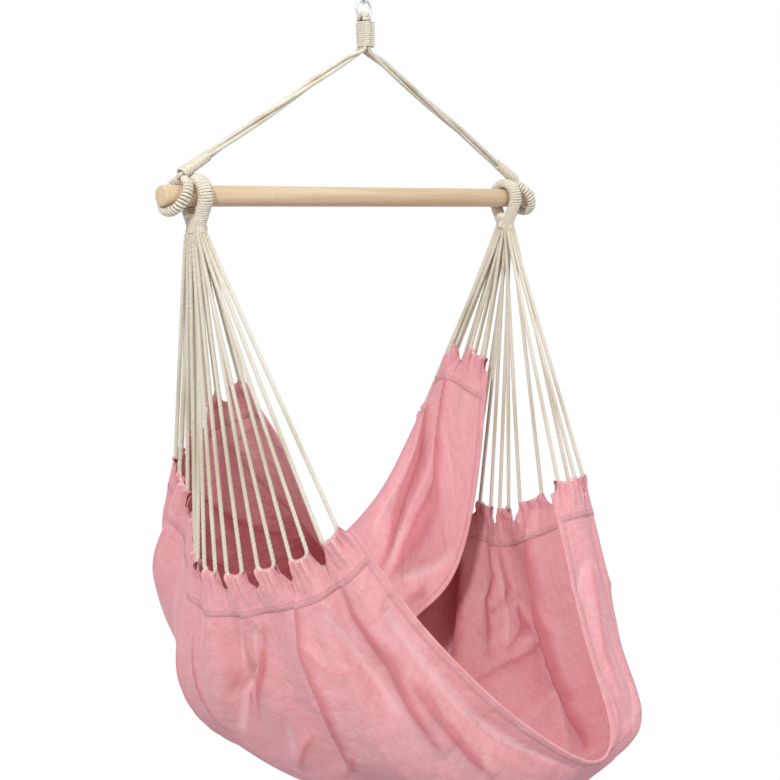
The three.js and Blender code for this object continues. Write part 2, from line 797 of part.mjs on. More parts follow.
const seatCords = (label, side) => {
  const neckFace = vector(side * eyeX, 0, -barDrop - neckFoot - clearance);
  const tabs = Array.from({ length: tabsPerEnd }, (unused, tab) => tabFeet(side, tab));
  const ends = tabs.flatMap(([front, middle, back]) => [front, back]);
  const runs = ends.map((foot) =>
    new THREE.Vector2(foot.x - neckFace.x, foot.y).divideScalar(neckFace.z - foot.z));
  const order = assignSlots(slots(), runs);
  return tabs.map(([front, middle, back], tab) => {
    const slotAt = (which) => {
      const slot = order[2 * tab + which];
      return vector(neckFace.x + slot.x, slot.y, neckFace.z);
    };
    const down = (slot, foot) => {
      const way = foot.clone().sub(slot).normalize();
      return [slot, slot.clone().add(vector(0, 0, -cordSquareRun)), foot.clone().addScaledVector(way, -cordCorner)];
    };
    const onto = (foot) => foot.clone().lerp(middle, 1 / 3);
    const stations = [
      ...down(slotAt(0), front), onto(front), middle, onto(back), ...down(slotAt(1), back).reverse(),
    ];
    return piece(`seat_cord_${label}_${tab + 1}`, tube(stations, seatCord, cordSides), cotton());
  });
};

// Assembly

const group = new THREE.Group();
group.name = 'hammock_chair';
group.add(swivelBody(), swivelLowerEye(), ring(), topEye(), topEyeWinding(), bar(), seat());
for (const [label, side] of [['left', -1], ['right', 1]]) {
  group.add(...slingParts(label, side));
  group.add(...legCords(label, side));
  group.add(...seatEyeParts(label, side));
  group.add(...seatCords(label, side));
}

export default group;
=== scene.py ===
"""Hammock chair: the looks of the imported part, in metres and in the frame's own axes.

The origin is the hang point, X runs along the spreader bar and the seat faces -Y.
"""

import math

import bmesh
import bpy
import numpy as np
from mathutils import Matrix, Vector


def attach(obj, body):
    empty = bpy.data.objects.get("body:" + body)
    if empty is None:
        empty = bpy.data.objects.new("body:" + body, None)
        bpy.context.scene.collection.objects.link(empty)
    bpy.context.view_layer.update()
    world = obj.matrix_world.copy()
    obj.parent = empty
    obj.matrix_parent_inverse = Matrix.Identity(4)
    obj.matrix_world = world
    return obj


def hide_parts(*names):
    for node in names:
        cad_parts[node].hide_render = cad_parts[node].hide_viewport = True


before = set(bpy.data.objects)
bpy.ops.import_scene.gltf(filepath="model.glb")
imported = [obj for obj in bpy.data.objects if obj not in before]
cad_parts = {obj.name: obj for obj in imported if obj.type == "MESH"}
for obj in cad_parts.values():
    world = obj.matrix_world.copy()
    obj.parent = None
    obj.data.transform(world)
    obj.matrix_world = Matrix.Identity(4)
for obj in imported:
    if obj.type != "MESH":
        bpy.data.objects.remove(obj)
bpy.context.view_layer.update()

MM = 0.001
TINY = 1e-6
TURN = 2 * math.pi
LEFT, RIGHT = -1, 1
SIDES = {"left": LEFT, "right": RIGHT}

# Camera: where it stands, how far it is turned from +Y and tipped down, and its lens.
# Lamps: each one's place and size in metres and its watts.

CAMERA_PLACE = Vector((-1671.4, -1851.4, -368.9)) * MM
CAMERA_YAW = math.radians(43)
CAMERA_PITCH = math.atan2(182, 1600)
SENSOR_WIDTH = 36
CAMERA_LENS = 73.85
CAMERA_NEAR = 10 * MM
LAMPS = {
    "key": ((-2.4, -1.6, 1.0), 0.4, 60),
    "side": ((0.8, -2.1, 1.2), 0.4, 16),
    "top": ((-0.4, 0.2, 2.2), 1.0, 9),
}
AMBIENT = 0.58

# Driving dimensions, as in the CAD source

CLEARANCE = 0.3 * MM

BAR_LENGTH = 760 * MM
BAR_DIAMETER = 30 * MM
BAR_END_ROUND = 3 * MM
BAR_DROP = 352 * MM

SWIVEL_WIRE = 4.5 * MM
UPPER_EYE_BORE = 12 * MM
BARREL_DIAMETER = 16.5 * MM
BARREL_TOP = -19 * MM
BARREL_BOTTOM = -44.5 * MM
BARREL_ROUND = 2 * MM
BARREL_GROOVE = 0.5 * MM
GROOVE_SHARES = (0.24, 0.76)
COLLAR_HEIGHT = 2.7 * MM
LOWER_EYE_REACH = 6 * MM

RING_WIRE = 5 * MM
RING_BORE = 24 * MM

TOP_EYE_ROPE = 9 * MM
TOP_STRAND = 3.4 * MM
TOP_BODY_WIDTH = 12.4 * MM
TOP_BODY_TAPER = 0.85
TOP_BODY_LENGTH = 41 * MM
TOP_TWINE = 3.2 * MM
TOP_TURNS = 12
LOOP_TWINE = 2.6 * MM
LOOP_WIDTH = 11 * MM
LOOP_TURNS = 13
LOOP_SPREAD = 1.2
STRAND_DRAW_IN = 0.9
HITCH_TWINE = 2.6 * MM
HITCH_REACH = 2 * MM

LEG_CORD = 5.7 * MM
LEG_FOOT_X = 3.3 * MM
LEG_FOOT_Y = 7 * MM
LEG_BUNCH = 3.9 * MM
LEG_TWIST = 0.6
LEG_SQUARE_RUN = 4 * MM
LEG_HIDDEN_RUN = 9 * MM

SLING_INSET = 25 * MM
SLING_TILT = math.radians(30)
SLING_CORE = 5.4 * MM
SLING_WIDTH = 9.5 * MM
SLING_TWINE = 2.8 * MM
SLING_YARN = 3.5 * MM
SLING_TURNS = 31
SLING_SWEEP = math.radians(340)
STEM_CORE = 7 * MM
STEM_RISE = 9.5 * MM
STEM_LENGTH = 50 * MM
STEM_TWINE = 3.2 * MM
STEM_TURNS = 17
STEM_COVER = 2 * MM
STEM_REACH = 6.2 * MM
STEM_TAPER = 1.5 * MM

EYE_INSET = 60 * MM
EYE_CORE = 7.2 * MM
EYE_WIDTH = 16 * MM
EYE_TWINE = 3.6 * MM
EYE_YARN = 3.3 * MM
EYE_TURNS = 45
EYE_ARC = math.radians(115)
EYE_RUN = 32 * MM
EYE_NARROWING = 0.25

# Each level is a width, a depth and a drop under the bar's axis
NECK_LEVELS = np.array([(25, 29, 25), (24, 28, 33), (19, 26, 44), (19, 28, 54)]) * MM
NECK_WRAP_TOP = 32 * MM
NECK_FOOT = 52 * MM
NECK_TWINE = 2.6 * MM
NECK_TURNS = 9
TAIL_DROP = 40 * MM
TAIL_REACH = 10 * MM
TAIL_LENGTH = 13 * MM
TAIL_DIAMETER = 6.5 * MM
TAIL_TWIST = 0.6
# How far out and down the tail goes, as shares of its reach and its length, and its swelling
TAIL_SHARES = ((0.5, -0.1), (1, 0), (1.35, 0.25), (1.5, 0.75))
TAIL_SWELL_SHARES = ([0, 0.5, 0.8, 1], [0.9, 1, 1.35, 0.9])

TWINE_ROOM = 0.35 * MM
TURN_CORNERS = 8
TURN_STEPS = 18
EYE_TURN_STEPS = 24
BODY_TURN_STEPS = 32

SEAT_CORD = 5.4 * MM
CORD_FULLNESS = 1.22
LEG_FULLNESS = 1.1
SLOT_PITCH_X = 5.8 * MM
SLOT_PITCH_Y = 6.1 * MM
SLOT_COLUMNS = 4
SLOT_ROWS = 6
CORD_CORNER = 5 * MM
CORD_FOOT_LIFT = 3.5 * MM
CORD_SPREAD_RUN = 14 * MM
# Where a cord is on its way out of the neck: shares of its slot's place and of the run, upwards
CORD_SPREAD_SHARES = ((0.62, 0.66, 1), (0.7, 0.72, 1 / 3), (1, 1, -0.6))
TRADE_GAIN = 1e-12

ROPE_LAY = 3.3
ROPE_STEP = 1.5 * MM
ROPE_GROOVE = 0.16
STRAND_CORNERS = 4
ROUND_CORNERS = 9
WIRE_CORNERS = 24
TURNED_CORNERS = 64
BAR_CORNERS = 72
RING_CORNERS = 96

SEAT_HALF_WIDTH = 300 * MM
SEAT_REACH = 400 * MM
SEAT_DROP = 930 * MM
CAD_CLOTH = 2.4 * MM
CLOTH = 1.3 * MM
BAND_CLOTH = 0.9 * MM
CLOTH_GRID = (170, 270)
EDGE_SHARE = 0.003
SHARE_STEP = 0.001
EDGE_STEP = 0.01
EDGE_ROOM = 0.011
CASING_COVER = 5 * MM
TABS = 12
GATHER_HEIGHT = 9 * MM
EDGE_GATHER_HEIGHT = 4 * MM
FOLD_WIDTH = 42 * MM
CASING_GRID = (34, 44)
CASING_DEPTH = 58 * MM
CASING_GAP = 0.25 * MM
CASING_ROLL_RUN = 2 * MM
CASING_ROLL_SHARE = 0.27
CASING_STITCH_MARGINS = (3 * MM, 7 * MM)
NOTCH_DEPTH = 18 * MM
HEM_GRID = (320, 20)
HEM_DEPTH = 10 * MM
HEM_INSET = 4 * MM
HEM_GAP = 0.15 * MM
HEM_ROLL = 1.9 * MM
HEM_ROLL_SHARE = 0.3
HEM_STITCH_MARGIN = 2 * MM
SLEEVE_SLACK = 0.9 * MM
MERGE_REACH = 0.05 * MM
PUCKER_HEIGHT = 4.5 * MM
TAB_TOP_SHARE = 0.56
TAB_END_SHARE = 0.25
HEM_SLANT_SHARE = 0.35
STITCH_PITCH = 3.2 * MM
STITCH_WIDTHS = (0.7 * MM, 0.3 * MM)
STITCH_DIP_WIDTHS = (1.6 * MM, 0.4 * MM)
WEAVE_PITCH = 0.9 * MM
CLOTH_ACROSS = 1080 * MM
CLOTH_DEEP = 1000 * MM
CASING_FULLNESS = 1.8
CREASE_FADE = 0.6
CREASE_SPREAD = 8
SMALL_CREASES = 70
SMALL_CREASE_SEED = 5
SMALL_CREASE_REACH = (0.02, 0.055)
SMALL_CREASE_RISE = (2, 4.5)
SMALL_CREASE_WIDTH = 9
# The reach and depth that set the painted shade in creases and the painted highlight on ridges, and the
# strength of the painted shading on the casing's puckers
SHADING_REACH = 8 * MM
SHADING_DEPTH = 2.6 * MM
WIDE_SHADING_REACH = 22 * MM
WIDE_SHADING_DEPTH = 9 * MM
CASING_PAINTED_SHADING = 1.3
CREASE_ROUNDING = 0.06

# The seat's skin at rest, as in the CAD source: rows from the front hem to the back hem, places
# from the left casing to the right one, each x, y and drop as shares of the three seat sizes
SEAT_SHARES = [
    [(-0.783, -0.575, 0.49), (-0.5, -0.725, 0.647), (-0.167, -0.913, 0.785), (0.186, -1.033, 0.869),
     (0.488, -0.963, 0.854), (0.62, -0.738, 0.707), (0.768, -0.48, 0.497)],
    [(-0.9, -0.455, 0.542), (-0.683, -0.613, 0.742), (-0.333, -0.75, 0.888), (0.213, -0.836, 0.938),
     (0.790, -0.917, 0.873), (0.954, -0.713, 0.734), (1.042, -0.467, 0.495)],
    [(-0.993, -0.29, 0.57), (-0.84, -0.4, 0.77), (-0.467, -0.475, 0.931), (0.15, -0.5, 0.981),
     (0.725, -0.561, 0.948), (0.887, -0.413, 0.787), (0.96, -0.195, 0.553)],
    [(-1.047, -0.108, 0.589), (-0.933, -0.15, 0.781), (-0.537, -0.15, 0.94), (0.133, -0.125, 1),
     (0.64, -0.15, 0.946), (0.927, -0.138, 0.781), (0.987, -0.013, 0.576)],
    [(-1.033, 0.065, 0.576), (-1.02, 0.147, 0.776), (-0.628, 0.205, 0.912), (0.117, 0.213, 0.987),
     (0.633, 0.2, 0.91), (0.94, 0.138, 0.751), (1.003, 0.163, 0.557)],
    [(-0.933, 0.175, 0.514), (-0.961, 0.316, 0.712), (-0.622, 0.418, 0.85), (0.1, 0.463, 0.914),
     (0.6, 0.45, 0.822), (0.917, 0.363, 0.66), (1.013, 0.29, 0.495)],
    [(-0.917, 0.305, 0.439), (-0.873, 0.43, 0.589), (-0.567, 0.538, 0.742), (0.083, 0.55, 0.789),
     (0.533, 0.538, 0.705), (0.873, 0.463, 0.561), (0.939, 0.407, 0.426)],
    [(-0.813, 0.298, 0.389), (-0.753, 0.43, 0.504), (-0.417, 0.488, 0.628), (0.073, 0.463, 0.677),
     (0.509, 0.433, 0.611), (0.856, 0.386, 0.477), (0.922, 0.319, 0.369)],
    [(-0.747, 0.198, 0.323), (-0.633, 0.25, 0.43), (-0.283, 0.225, 0.551), (0.067, 0.195, 0.604),
     (0.453, 0.225, 0.548), (0.782, 0.266, 0.43), (0.907, 0.175, 0.277)],
    [(-0.717, 0.048, 0.299), (-0.533, -0.005, 0.409), (-0.25, 0.008, 0.589), (0.04, -0.063, 0.716),
     (0.367, -0.03, 0.725), (0.683, -0.048, 0.624), (0.917, -0.005, 0.305)],
]

# Folds that the CAD has too. Each runs between two shares of the way from the left casing to the
# right one, at one share of the way from front to back where it starts and another where it ends.
# Its height is a share of the fold width, outwards.
MAIN_FOLDS = [
    ((0.02, 0.6), (0.14, 0.08), 0.36),
    ((0.02, 0.55), (0.25, 0.2), -0.34),
    ((0.02, 0.45), (0.36, 0.33), 0.26),
    ((0.03, 0.4), (0.52, 0.5), -0.26),
    ((0.62, 0.99), (0.17, 0.2), -0.26),
    ((0.55, 0.98), (0.27, 0.28), 0.3),
    ((0.58, 0.98), (0.33, 0.4), -0.28),
    ((0.45, 0.98), (0.86, 0.87), 0.2),
    ((0.1, 0.6), (0.7, 0.7), 0.24),
]

# Sharp folds and creases, only here. Each is a line of places on the skin, then its height outwards
# and its width in millimetres, and its lean: above zero its front side is the steeper one, below
# zero its back side.
CREASES = [
    ([(0.03, 0.3), (0.08, 0.325), (0.16, 0.342)], -10.5, 9.5, 0),
    ([(0.06, 0.278), (0.11, 0.298), (0.16, 0.343), (0.22, 0.364)], -23.5, 8, 0.2),
    ([(0.05, 0.255), (0.12, 0.282), (0.2, 0.33)], 8.5, 9.5, 0),
    ([(0.08, 0.425), (0.15, 0.412), (0.23, 0.398)], 10.5, 9.5, -0.5),
    ([(0.03, 0.165), (0.09, 0.186), (0.15, 0.186), (0.22, 0.202), (0.3, 0.23)], 29, 19, -0.7),
    ([(0.05, 0.122), (0.1, 0.108), (0.15, 0.099), (0.21, 0.094)], -18.5, 17.5, 0.2),
    ([(0.03, 0.068), (0.08, 0.076), (0.15, 0.068), (0.2, 0.077), (0.29, 0.086)], 23.5, 16, -0.6),
    ([(0.18, 0.055), (0.27, 0.06), (0.37, 0.074)], 12, 7.5, 0),
    ([(0.1, 0.031), (0.22, 0.031), (0.3, 0.034), (0.4, 0.032), (0.5, 0.03)], -26, 13.5, -0.3),
    ([(0.22, 0.25), (0.24, 0.278), (0.28, 0.31)], 7.5, 7.5, 0),
    ([(0.19, 0.283), (0.25, 0.3)], -7.5, 7.5, 0),
    ([(0.24, 0.19), (0.31, 0.265)], 7.5, 7.5, 0),
    ([(0.2, 0.15), (0.35, 0.14), (0.5, 0.12)], 10.5, 17, -0.3),
    ([(0.25, 0.24), (0.4, 0.22), (0.56, 0.2)], -10.5, 17, 0.2),
    ([(0.56, 0.957), (0.64, 0.943), (0.72, 0.938), (0.81, 0.942), (0.88, 0.93), (0.97, 0.9)],
     35.5, 20, 0.65),
    ([(0.55, 0.945), (0.64, 0.921), (0.71, 0.906), (0.8, 0.901), (0.9, 0.888)], 25, 11, -0.4),
    ([(0.62, 0.935), (0.72, 0.922), (0.8, 0.921), (0.88, 0.915)], -20, 9.5, 0),
    ([(0.58, 0.9), (0.66, 0.886), (0.72, 0.887), (0.8, 0.888), (0.87, 0.88)], -17.5, 9.5, 0.2),
    ([(0.57, 0.956), (0.68, 0.969), (0.82, 0.99)], -9.5, 7.5, 0),
    ([(0.6, 0.98), (0.7, 0.986)], 8, 8.5, 0),
    ([(0.64, 0.178), (0.73, 0.205), (0.8, 0.215), (0.88, 0.226), (0.95, 0.225), (0.995, 0.21)],
     -38, 20, -0.7),
    ([(0.66, 0.212), (0.75, 0.237), (0.85, 0.25), (0.95, 0.25)], 17, 13.5, 0.3),
    ([(0.78, 0.35), (0.87, 0.37), (0.91, 0.352), (0.97, 0.363)], -14.5, 12, -0.5),
    ([(0.8, 0.33), (0.88, 0.335), (0.95, 0.34)], 8.5, 8.5, 0),
    ([(0.7, 0.395), (0.83, 0.429), (0.89, 0.437), (0.97, 0.43)], -33.5, 21.5, -0.65),
    ([(0.7, 0.43), (0.83, 0.462), (0.92, 0.468)], 27.5, 16, 0),
    ([(0.85, 0.358), (0.9, 0.318), (0.95, 0.323)], -8, 7.5, 0),
    ([(0.81, 0.343), (0.81, 0.32), (0.85, 0.298), (0.88, 0.306)], -8, 7.5, 0),
    ([(0.84, 0.279), (0.88, 0.306)], -6, 7.5, 0),
    ([(0.72, 0.37), (0.78, 0.326), (0.82, 0.28), (0.86, 0.228)], -8, 7.5, 0),
    ([(0.71, 0.283), (0.78, 0.243)], 6, 7.5, 0),
    ([(0.55, 0.25), (0.65, 0.3), (0.72, 0.38)], 5, 10.5, 0),
    ([(0.62, 0.012), (0.7, 0.02), (0.77, 0.012)], 6, 7.5, 0),
    ([(0.66, 0.05), (0.74, 0.07), (0.85, 0.06)], -7, 9.5, 0),
    ([(0.7, 0.035), (0.8, 0.03), (0.93, 0.05)], 7, 9.5, 0),
    ([(0.87, 0.004), (0.905, 0.03), (0.92, 0.06)], -6, 7.5, 0),
    ([(0.05, 0.47), (0.2, 0.46), (0.42, 0.44)], 10, 14.5, 0.4),
    ([(0.05, 0.55), (0.25, 0.56), (0.46, 0.52)], -10, 13.5, 0),
    ([(0.04, 0.62), (0.2, 0.64), (0.38, 0.66)], 10, 14.5, -0.4),
    ([(0.05, 0.72), (0.2, 0.74), (0.4, 0.78)], -8.5, 12.5, 0.3),
    ([(0.04, 0.8), (0.2, 0.82), (0.36, 0.86)], -10, 12.5, 0.3),
    ([(0.04, 0.9), (0.2, 0.9), (0.35, 0.93)], 8.5, 12.5, 0),
    ([(0.5, 0.5), (0.75, 0.53), (0.96, 0.5)], 10, 14.5, 0.3),
    ([(0.5, 0.62), (0.7, 0.64), (0.95, 0.6)], -10, 13.5, -0.3),
    ([(0.55, 0.74), (0.75, 0.72), (0.95, 0.7)], 10, 13.5, 0.3),
    ([(0.2, 0.7), (0.5, 0.72), (0.8, 0.78)], 8.5, 14.5, 0),
]


# Placing and finishing pieces

def shown(name, mesh, material, slot, body, *nodes):
    """A new piece at the origin that rides on a body and stands for CAD nodes."""
    piece = bpy.data.objects.new(name, mesh)
    bpy.context.scene.collection.objects.link(piece)
    mesh.materials.clear()
    mesh.materials.append(material)
    mesh.shade_smooth()
    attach(piece, body)
    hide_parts(*nodes)
    return piece


def finished(shape, name):
    """A mesh from a bmesh that is done with."""
    mesh = bpy.data.meshes.new(name)
    shape.to_mesh(mesh)
    shape.free()
    return mesh


def coordinates(mesh):
    flat = np.empty(len(mesh.vertices) * 3)
    mesh.vertices.foreach_get("co", flat)
    return flat.reshape(-1, 3)


def place_vertices(mesh, places):
    mesh.vertices.foreach_set("co", np.asarray(places).ravel())
    mesh.update()


def lengthen_map(mesh, length):
    """Puts metres on the second axis of a map that runs along a line from 0 to 1."""
    layer = mesh.uv_layers[0].uv
    flat = np.empty(len(layer) * 2)
    layer.foreach_get("vector", flat)
    flat[1::2] *= length
    layer.foreach_set("vector", flat)


def lay_map(mesh, across, along):
    """Gives each vertex its place in metres on the flat cloth."""
    corners = np.empty(len(mesh.loops), dtype=int)
    mesh.loops.foreach_get("vertex_index", corners)
    pairs = np.stack([across, along], axis=-1)[corners]
    mesh.uv_layers[0].uv.foreach_set("vector", pairs.ravel())


# Small sums

def unit(vectors):
    return vectors / np.linalg.norm(vectors, axis=-1, keepdims=True)


def smooth_ramp(value, low, high):
    share = np.clip((value - low) / (high - low), 0, 1)
    return share * share * (3 - 2 * share)


def square_to(vectors, ways):
    """The part of the vectors that is square to the ways, with a length of 1."""
    return unit(vectors - ways * (vectors * ways).sum(axis=-1, keepdims=True))


# Lines, and ropes and tubes that follow them

def smoothed(points, passes=3):
    """Cuts the corners of a line again and again and keeps its two ends."""
    line = np.asarray([tuple(point) for point in points])
    for _ in range(passes):
        ahead = 0.75 * line[:-1] + 0.25 * line[1:]
        behind = 0.25 * line[:-1] + 0.75 * line[1:]
        middle = np.stack([ahead, behind], axis=1).reshape(-1, 3)
        line = np.concatenate([line[:1], middle, line[-1:]])
    return line


def runs_along(line):
    """How far along the line each of its points is."""
    return np.concatenate([[0], np.cumsum(np.linalg.norm(np.diff(line, axis=0), axis=1))])


def points_at(line, shares):
    """The points of a line at shares of its length."""
    runs = runs_along(line)
    places = np.asarray(shares) * runs[-1]
    return np.stack([np.interp(places, runs, line[:, axis]) for axis in range(3)], axis=1)


def evenly(line, step):
    """The same line with its points a step apart."""
    count = max(int(round(runs_along(line)[-1] / step)), 2)
    return points_at(line, np.linspace(0, 1, count + 1))


def section(name, radii):
    """A closed section for tubes, with one radius for each of its corners."""
    outline = bpy.data.curves.new(name, "CURVE")
    outline.dimensions = "2D"
    spline = outline.splines.new("POLY")
    spline.points.add(len(radii) - 1)
    for k, (point, radius) in enumerate(zip(spline.points, radii)):
        angle = TURN * k / len(radii)
        point.co = (radius * math.cos(angle), radius * math.sin(angle), 0, 1)
    spline.use_cyclic_u = True
    piece = bpy.data.objects.new(name, outline)
    bpy.context.scene.collection.objects.link(piece)
    return piece


three_strands = section("three_strands", [
    1 - ROPE_GROOVE * math.cos(math.pi * k / STRAND_CORNERS) ** 2 for k in range(3 * STRAND_CORNERS)
])
round_section = section("round_section", [1] * ROUND_CORNERS)
wire_section = section("wire_section", [1] * WIRE_CORNERS)


def swept(line, radii, outline, turns=0.0):
    """A mesh swept along a line, with a radius at each point and a steady twist."""
    curve = bpy.data.curves.new("swept", "CURVE")
    curve.dimensions = "3D"
    curve.bevel_mode = "OBJECT"
    curve.bevel_object = outline
    curve.use_fill_caps = True
    spline = curve.splines.new("POLY")
    spline.points.add(len(line) - 1)
    homogeneous = np.concatenate([line, np.ones((len(line), 1))], axis=1)
    spline.points.foreach_set("co", homogeneous.ravel())
    spline.points.foreach_set("radius", np.broadcast_to(radii, len(line)).astype(float).copy())
    spline.points.foreach_set("tilt", np.linspace(0, TURN * turns, len(line)))
    holder = bpy.data.objects.new("swept", curve)
    bpy.context.scene.collection.objects.link(holder)
    depsgraph = bpy.context.evaluated_depsgraph_get()
    mesh = bpy.data.meshes.new_from_object(holder.evaluated_get(depsgraph))
    bpy.data.objects.remove(holder)
    lengthen_map(mesh, runs_along(line)[-1])
    return mesh


def rope_mesh(points, diameter, passes=3, outline=three_strands):
    line = evenly(smoothed(points, passes), ROPE_STEP)
    turns = runs_along(line)[-1] / (ROPE_LAY * diameter)
    return swept(line, diameter / 2, outline, turns)


def bent_wire(points, diameter):
    return swept(evenly(smoothed(points, 2), diameter / 8), diameter / 2, wire_section)


def joined(name, meshes):
    """One mesh from several."""
    whole = bmesh.new()
    for mesh in meshes:
        whole.from_mesh(mesh)
    return finished(whole, name)


def spin(shape, axis, steps):
    """Turns an outline once round an axis through the origin and closes the seams."""
    bmesh.ops.spin(
        shape, geom=shape.verts[:] + shape.edges[:], cent=(0, 0, 0), axis=axis,
        angle=TURN, steps=steps, use_merge=True,
    )
    bmesh.ops.remove_doubles(shape, verts=shape.verts, dist=TINY)
    bmesh.ops.recalc_face_normals(shape, faces=shape.faces)


def lathed(points, segments):
    """A shape turned about Z from (radius, height) points."""
    shape = bmesh.new()
    shape.loops.layers.uv.new("UVMap")
    corners = [shape.verts.new((radius, 0, height)) for radius, height in points]
    for first, second in zip(corners, corners[1:]):
        shape.edges.new((first, second))
    spin(shape, (0, 0, 1), segments)
    return finished(shape, "lathed")


def rounded_end(reach, height, rounding):
    """The rounded upper corner of a turned shape, from its side to its end face."""
    return [(reach - rounding * (1 - math.cos(a)), height - rounding * (1 - math.sin(a)))
            for a in np.radians(np.arange(0, 91, 15))]


def upside_down(outline):
    return [(reach, -height) for reach, height in reversed(outline)]


# Shader nodes

class Value:
    """A node's output, on which plain arithmetic adds Math nodes."""

    def __init__(self, shader, socket):
        self.shader = shader
        self.socket = socket

    def math(self, operation, *others):
        inputs = dict(enumerate([self, *others]))
        return self.shader.node("ShaderNodeMath", {"operation": operation}, inputs)

    def __add__(self, other):
        return self.math("ADD", other)

    def __sub__(self, other):
        return self.math("SUBTRACT", other)

    def __mul__(self, other):
        return self.math("MULTIPLY", other)


class Shader:
    """The nodes of one material or world."""

    def __init__(self, owner):
        owner.use_nodes = True
        self.tree = owner.node_tree
        self.tree.nodes.clear()

    def node(self, kind, settings=None, inputs=None, output=0):
        made = self.tree.nodes.new(kind)
        for key, value in (settings or {}).items():
            setattr(made, key, value)
        for key, value in (inputs or {}).items():
            if isinstance(value, Value):
                self.tree.links.new(value.socket, made.inputs[key])
            else:
                made.inputs[key].default_value = value
        return Value(self, made.outputs[output]) if made.outputs else None

    def mix(self, factor, first, second):
        inputs = {0: factor, 6: first, 7: second}
        return self.node("ShaderNodeMix", {"data_type": "RGBA"}, inputs, output=2)

    def separate(self, vector):
        return [self.node("ShaderNodeSeparateXYZ", None, {0: vector}, output=k) for k in range(3)]

    def scaled(self, vector, scales):
        inputs = {0: vector, 1: scales}
        return self.node("ShaderNodeVectorMath", {"operation": "MULTIPLY"}, inputs)

    def noise(self, vector, scale, detail):
        inputs = {"Vector": vector, "Scale": scale, "Detail": detail}
        return self.node("ShaderNodeTexNoise", None, inputs)

    def streaked(self, vector, scales, detail):
        """Noise stretched by a scale of its own along each axis."""
        return self.noise(self.scaled(vector, scales), 1, detail)

    def place(self):
        """The place in the piece's own space."""
        return self.node("ShaderNodeTexCoord", output=3)

    def between(self, value, low, high):
        """0 below low, 1 above high and smooth in between."""
        settings = {"interpolation_type": "SMOOTHSTEP"}
        inputs = {"Value": value, "From Min": low, "From Max": high}
        return self.node("ShaderNodeMapRange", settings, inputs)

    def bump(self, height, distance, strength, under=None):
        inputs = {"Height": height, "Distance": distance, "Strength": strength}
        if under is not None:
            inputs["Normal"] = under
        return self.node("ShaderNodeBump", None, inputs)

    def surface(self, **inputs):
        named = {key.replace("_", " "): value for key, value in inputs.items()}
        principled = self.node("ShaderNodeBsdfPrincipled", None, named)
        self.node("ShaderNodeOutputMaterial", None, {"Surface": principled})


def material(name):
    made = bpy.data.materials.new(name)
    return made, Shader(made)


# Materials

# The cotton shade colour is darker yarn tone and also the painted shade in the rope's grooves. The deep
# canvas colour is darker cloth tone and also the painted shade in creases, puckers and stitch grooves; the
# pale canvas colour is paler tone and thread colour and also the painted highlight on ridges and pucker
# crests.
COTTON_PALE = (0.95, 0.885, 0.755, 1)
COTTON_SHADE = (0.76, 0.65, 0.475, 1)
BEECH_PALE = (0.70, 0.55, 0.375, 1)
BEECH_STREAK = (0.60, 0.42, 0.25, 1)
BEECH_FLECK = (0.38, 0.22, 0.12, 1)
CANVAS = (0.765, 0.322, 0.36, 1)
CANVAS_PALE_AND_HIGHLIGHT = (0.86, 0.58, 0.61, 1)
CANVAS_DEEP_AND_SHADE = (0.56, 0.13, 0.155, 1)
CANVAS_SHEEN = (0.95, 0.55, 0.62, 1)
STEEL = (0.70, 0.71, 0.73, 1)
ROPE_RELIEF = 0.25 * MM
TWINE_RELIEF = 0.22 * MM
BEECH_RELIEF = 0.12 * MM
STEEL_RELIEF = 0.08 * MM
WEAVE_RELIEF = 0.16 * MM
RUMPLE_RELIEF = 1 * MM


def cotton_rope():
    """Twisted cotton: the map's first axis goes round the rope and its second along it in metres."""
    made, shader = material("cotton_rope")
    around, along, _ = shader.separate(shader.node("ShaderNodeUVMap"))
    strand = (around * (3 * math.pi)).math("SINE").math("ABSOLUTE")
    yarn = ((around * 21 + along * 1500) * TURN).math("SINE")
    place = shader.place()
    fuzz = shader.noise(place, 2600, 3)
    patch = shader.noise(place, 60, 2)
    # Painted shade: the grooves between the strands are darkened towards the shade colour, and the yarn lines
    # add a little painted shade in their own grooves; fuzz and patches are random tone.
    open_face = shader.between(strand, 0.0, 0.75)
    depth = open_face * 0.6 + yarn * 0.07 + fuzz * 0.3 + patch * 0.2
    colour = shader.mix(depth.math("MAXIMUM", 0).math("MINIMUM", 1), COTTON_SHADE, COTTON_PALE)
    normal = shader.bump(yarn * 0.5 + fuzz * 1.5, ROPE_RELIEF, 0.8)
    shader.surface(Base_Color=colour, Roughness=0.95, Normal=normal, Sheen_Weight=0.25)
    return made


def cotton_twine():
    """Wound twine: smoother than the rope, with its own slanted yarns."""
    made, shader = material("cotton_twine")
    around, along, _ = shader.separate(shader.node("ShaderNodeUVMap"))
    yarn = ((around * 2 + along * 420) * TURN).math("SINE")
    place = shader.place()
    fuzz = shader.noise(place, 2200, 3)
    patch = shader.noise(place, 90, 2)
    # The yarn lines add a little painted shade in their grooves; fuzz and patches are random tone.
    depth = yarn * 0.1 + fuzz * 0.4 + patch * 0.3 + 0.4
    colour = shader.mix(depth.math("MAXIMUM", 0).math("MINIMUM", 1), COTTON_SHADE, COTTON_PALE)
    normal = shader.bump(yarn * 0.6 + fuzz * 1.2, TWINE_RELIEF, 0.8)
    shader.surface(Base_Color=colour, Roughness=0.95, Normal=normal, Sheen_Weight=0.25)
    return made


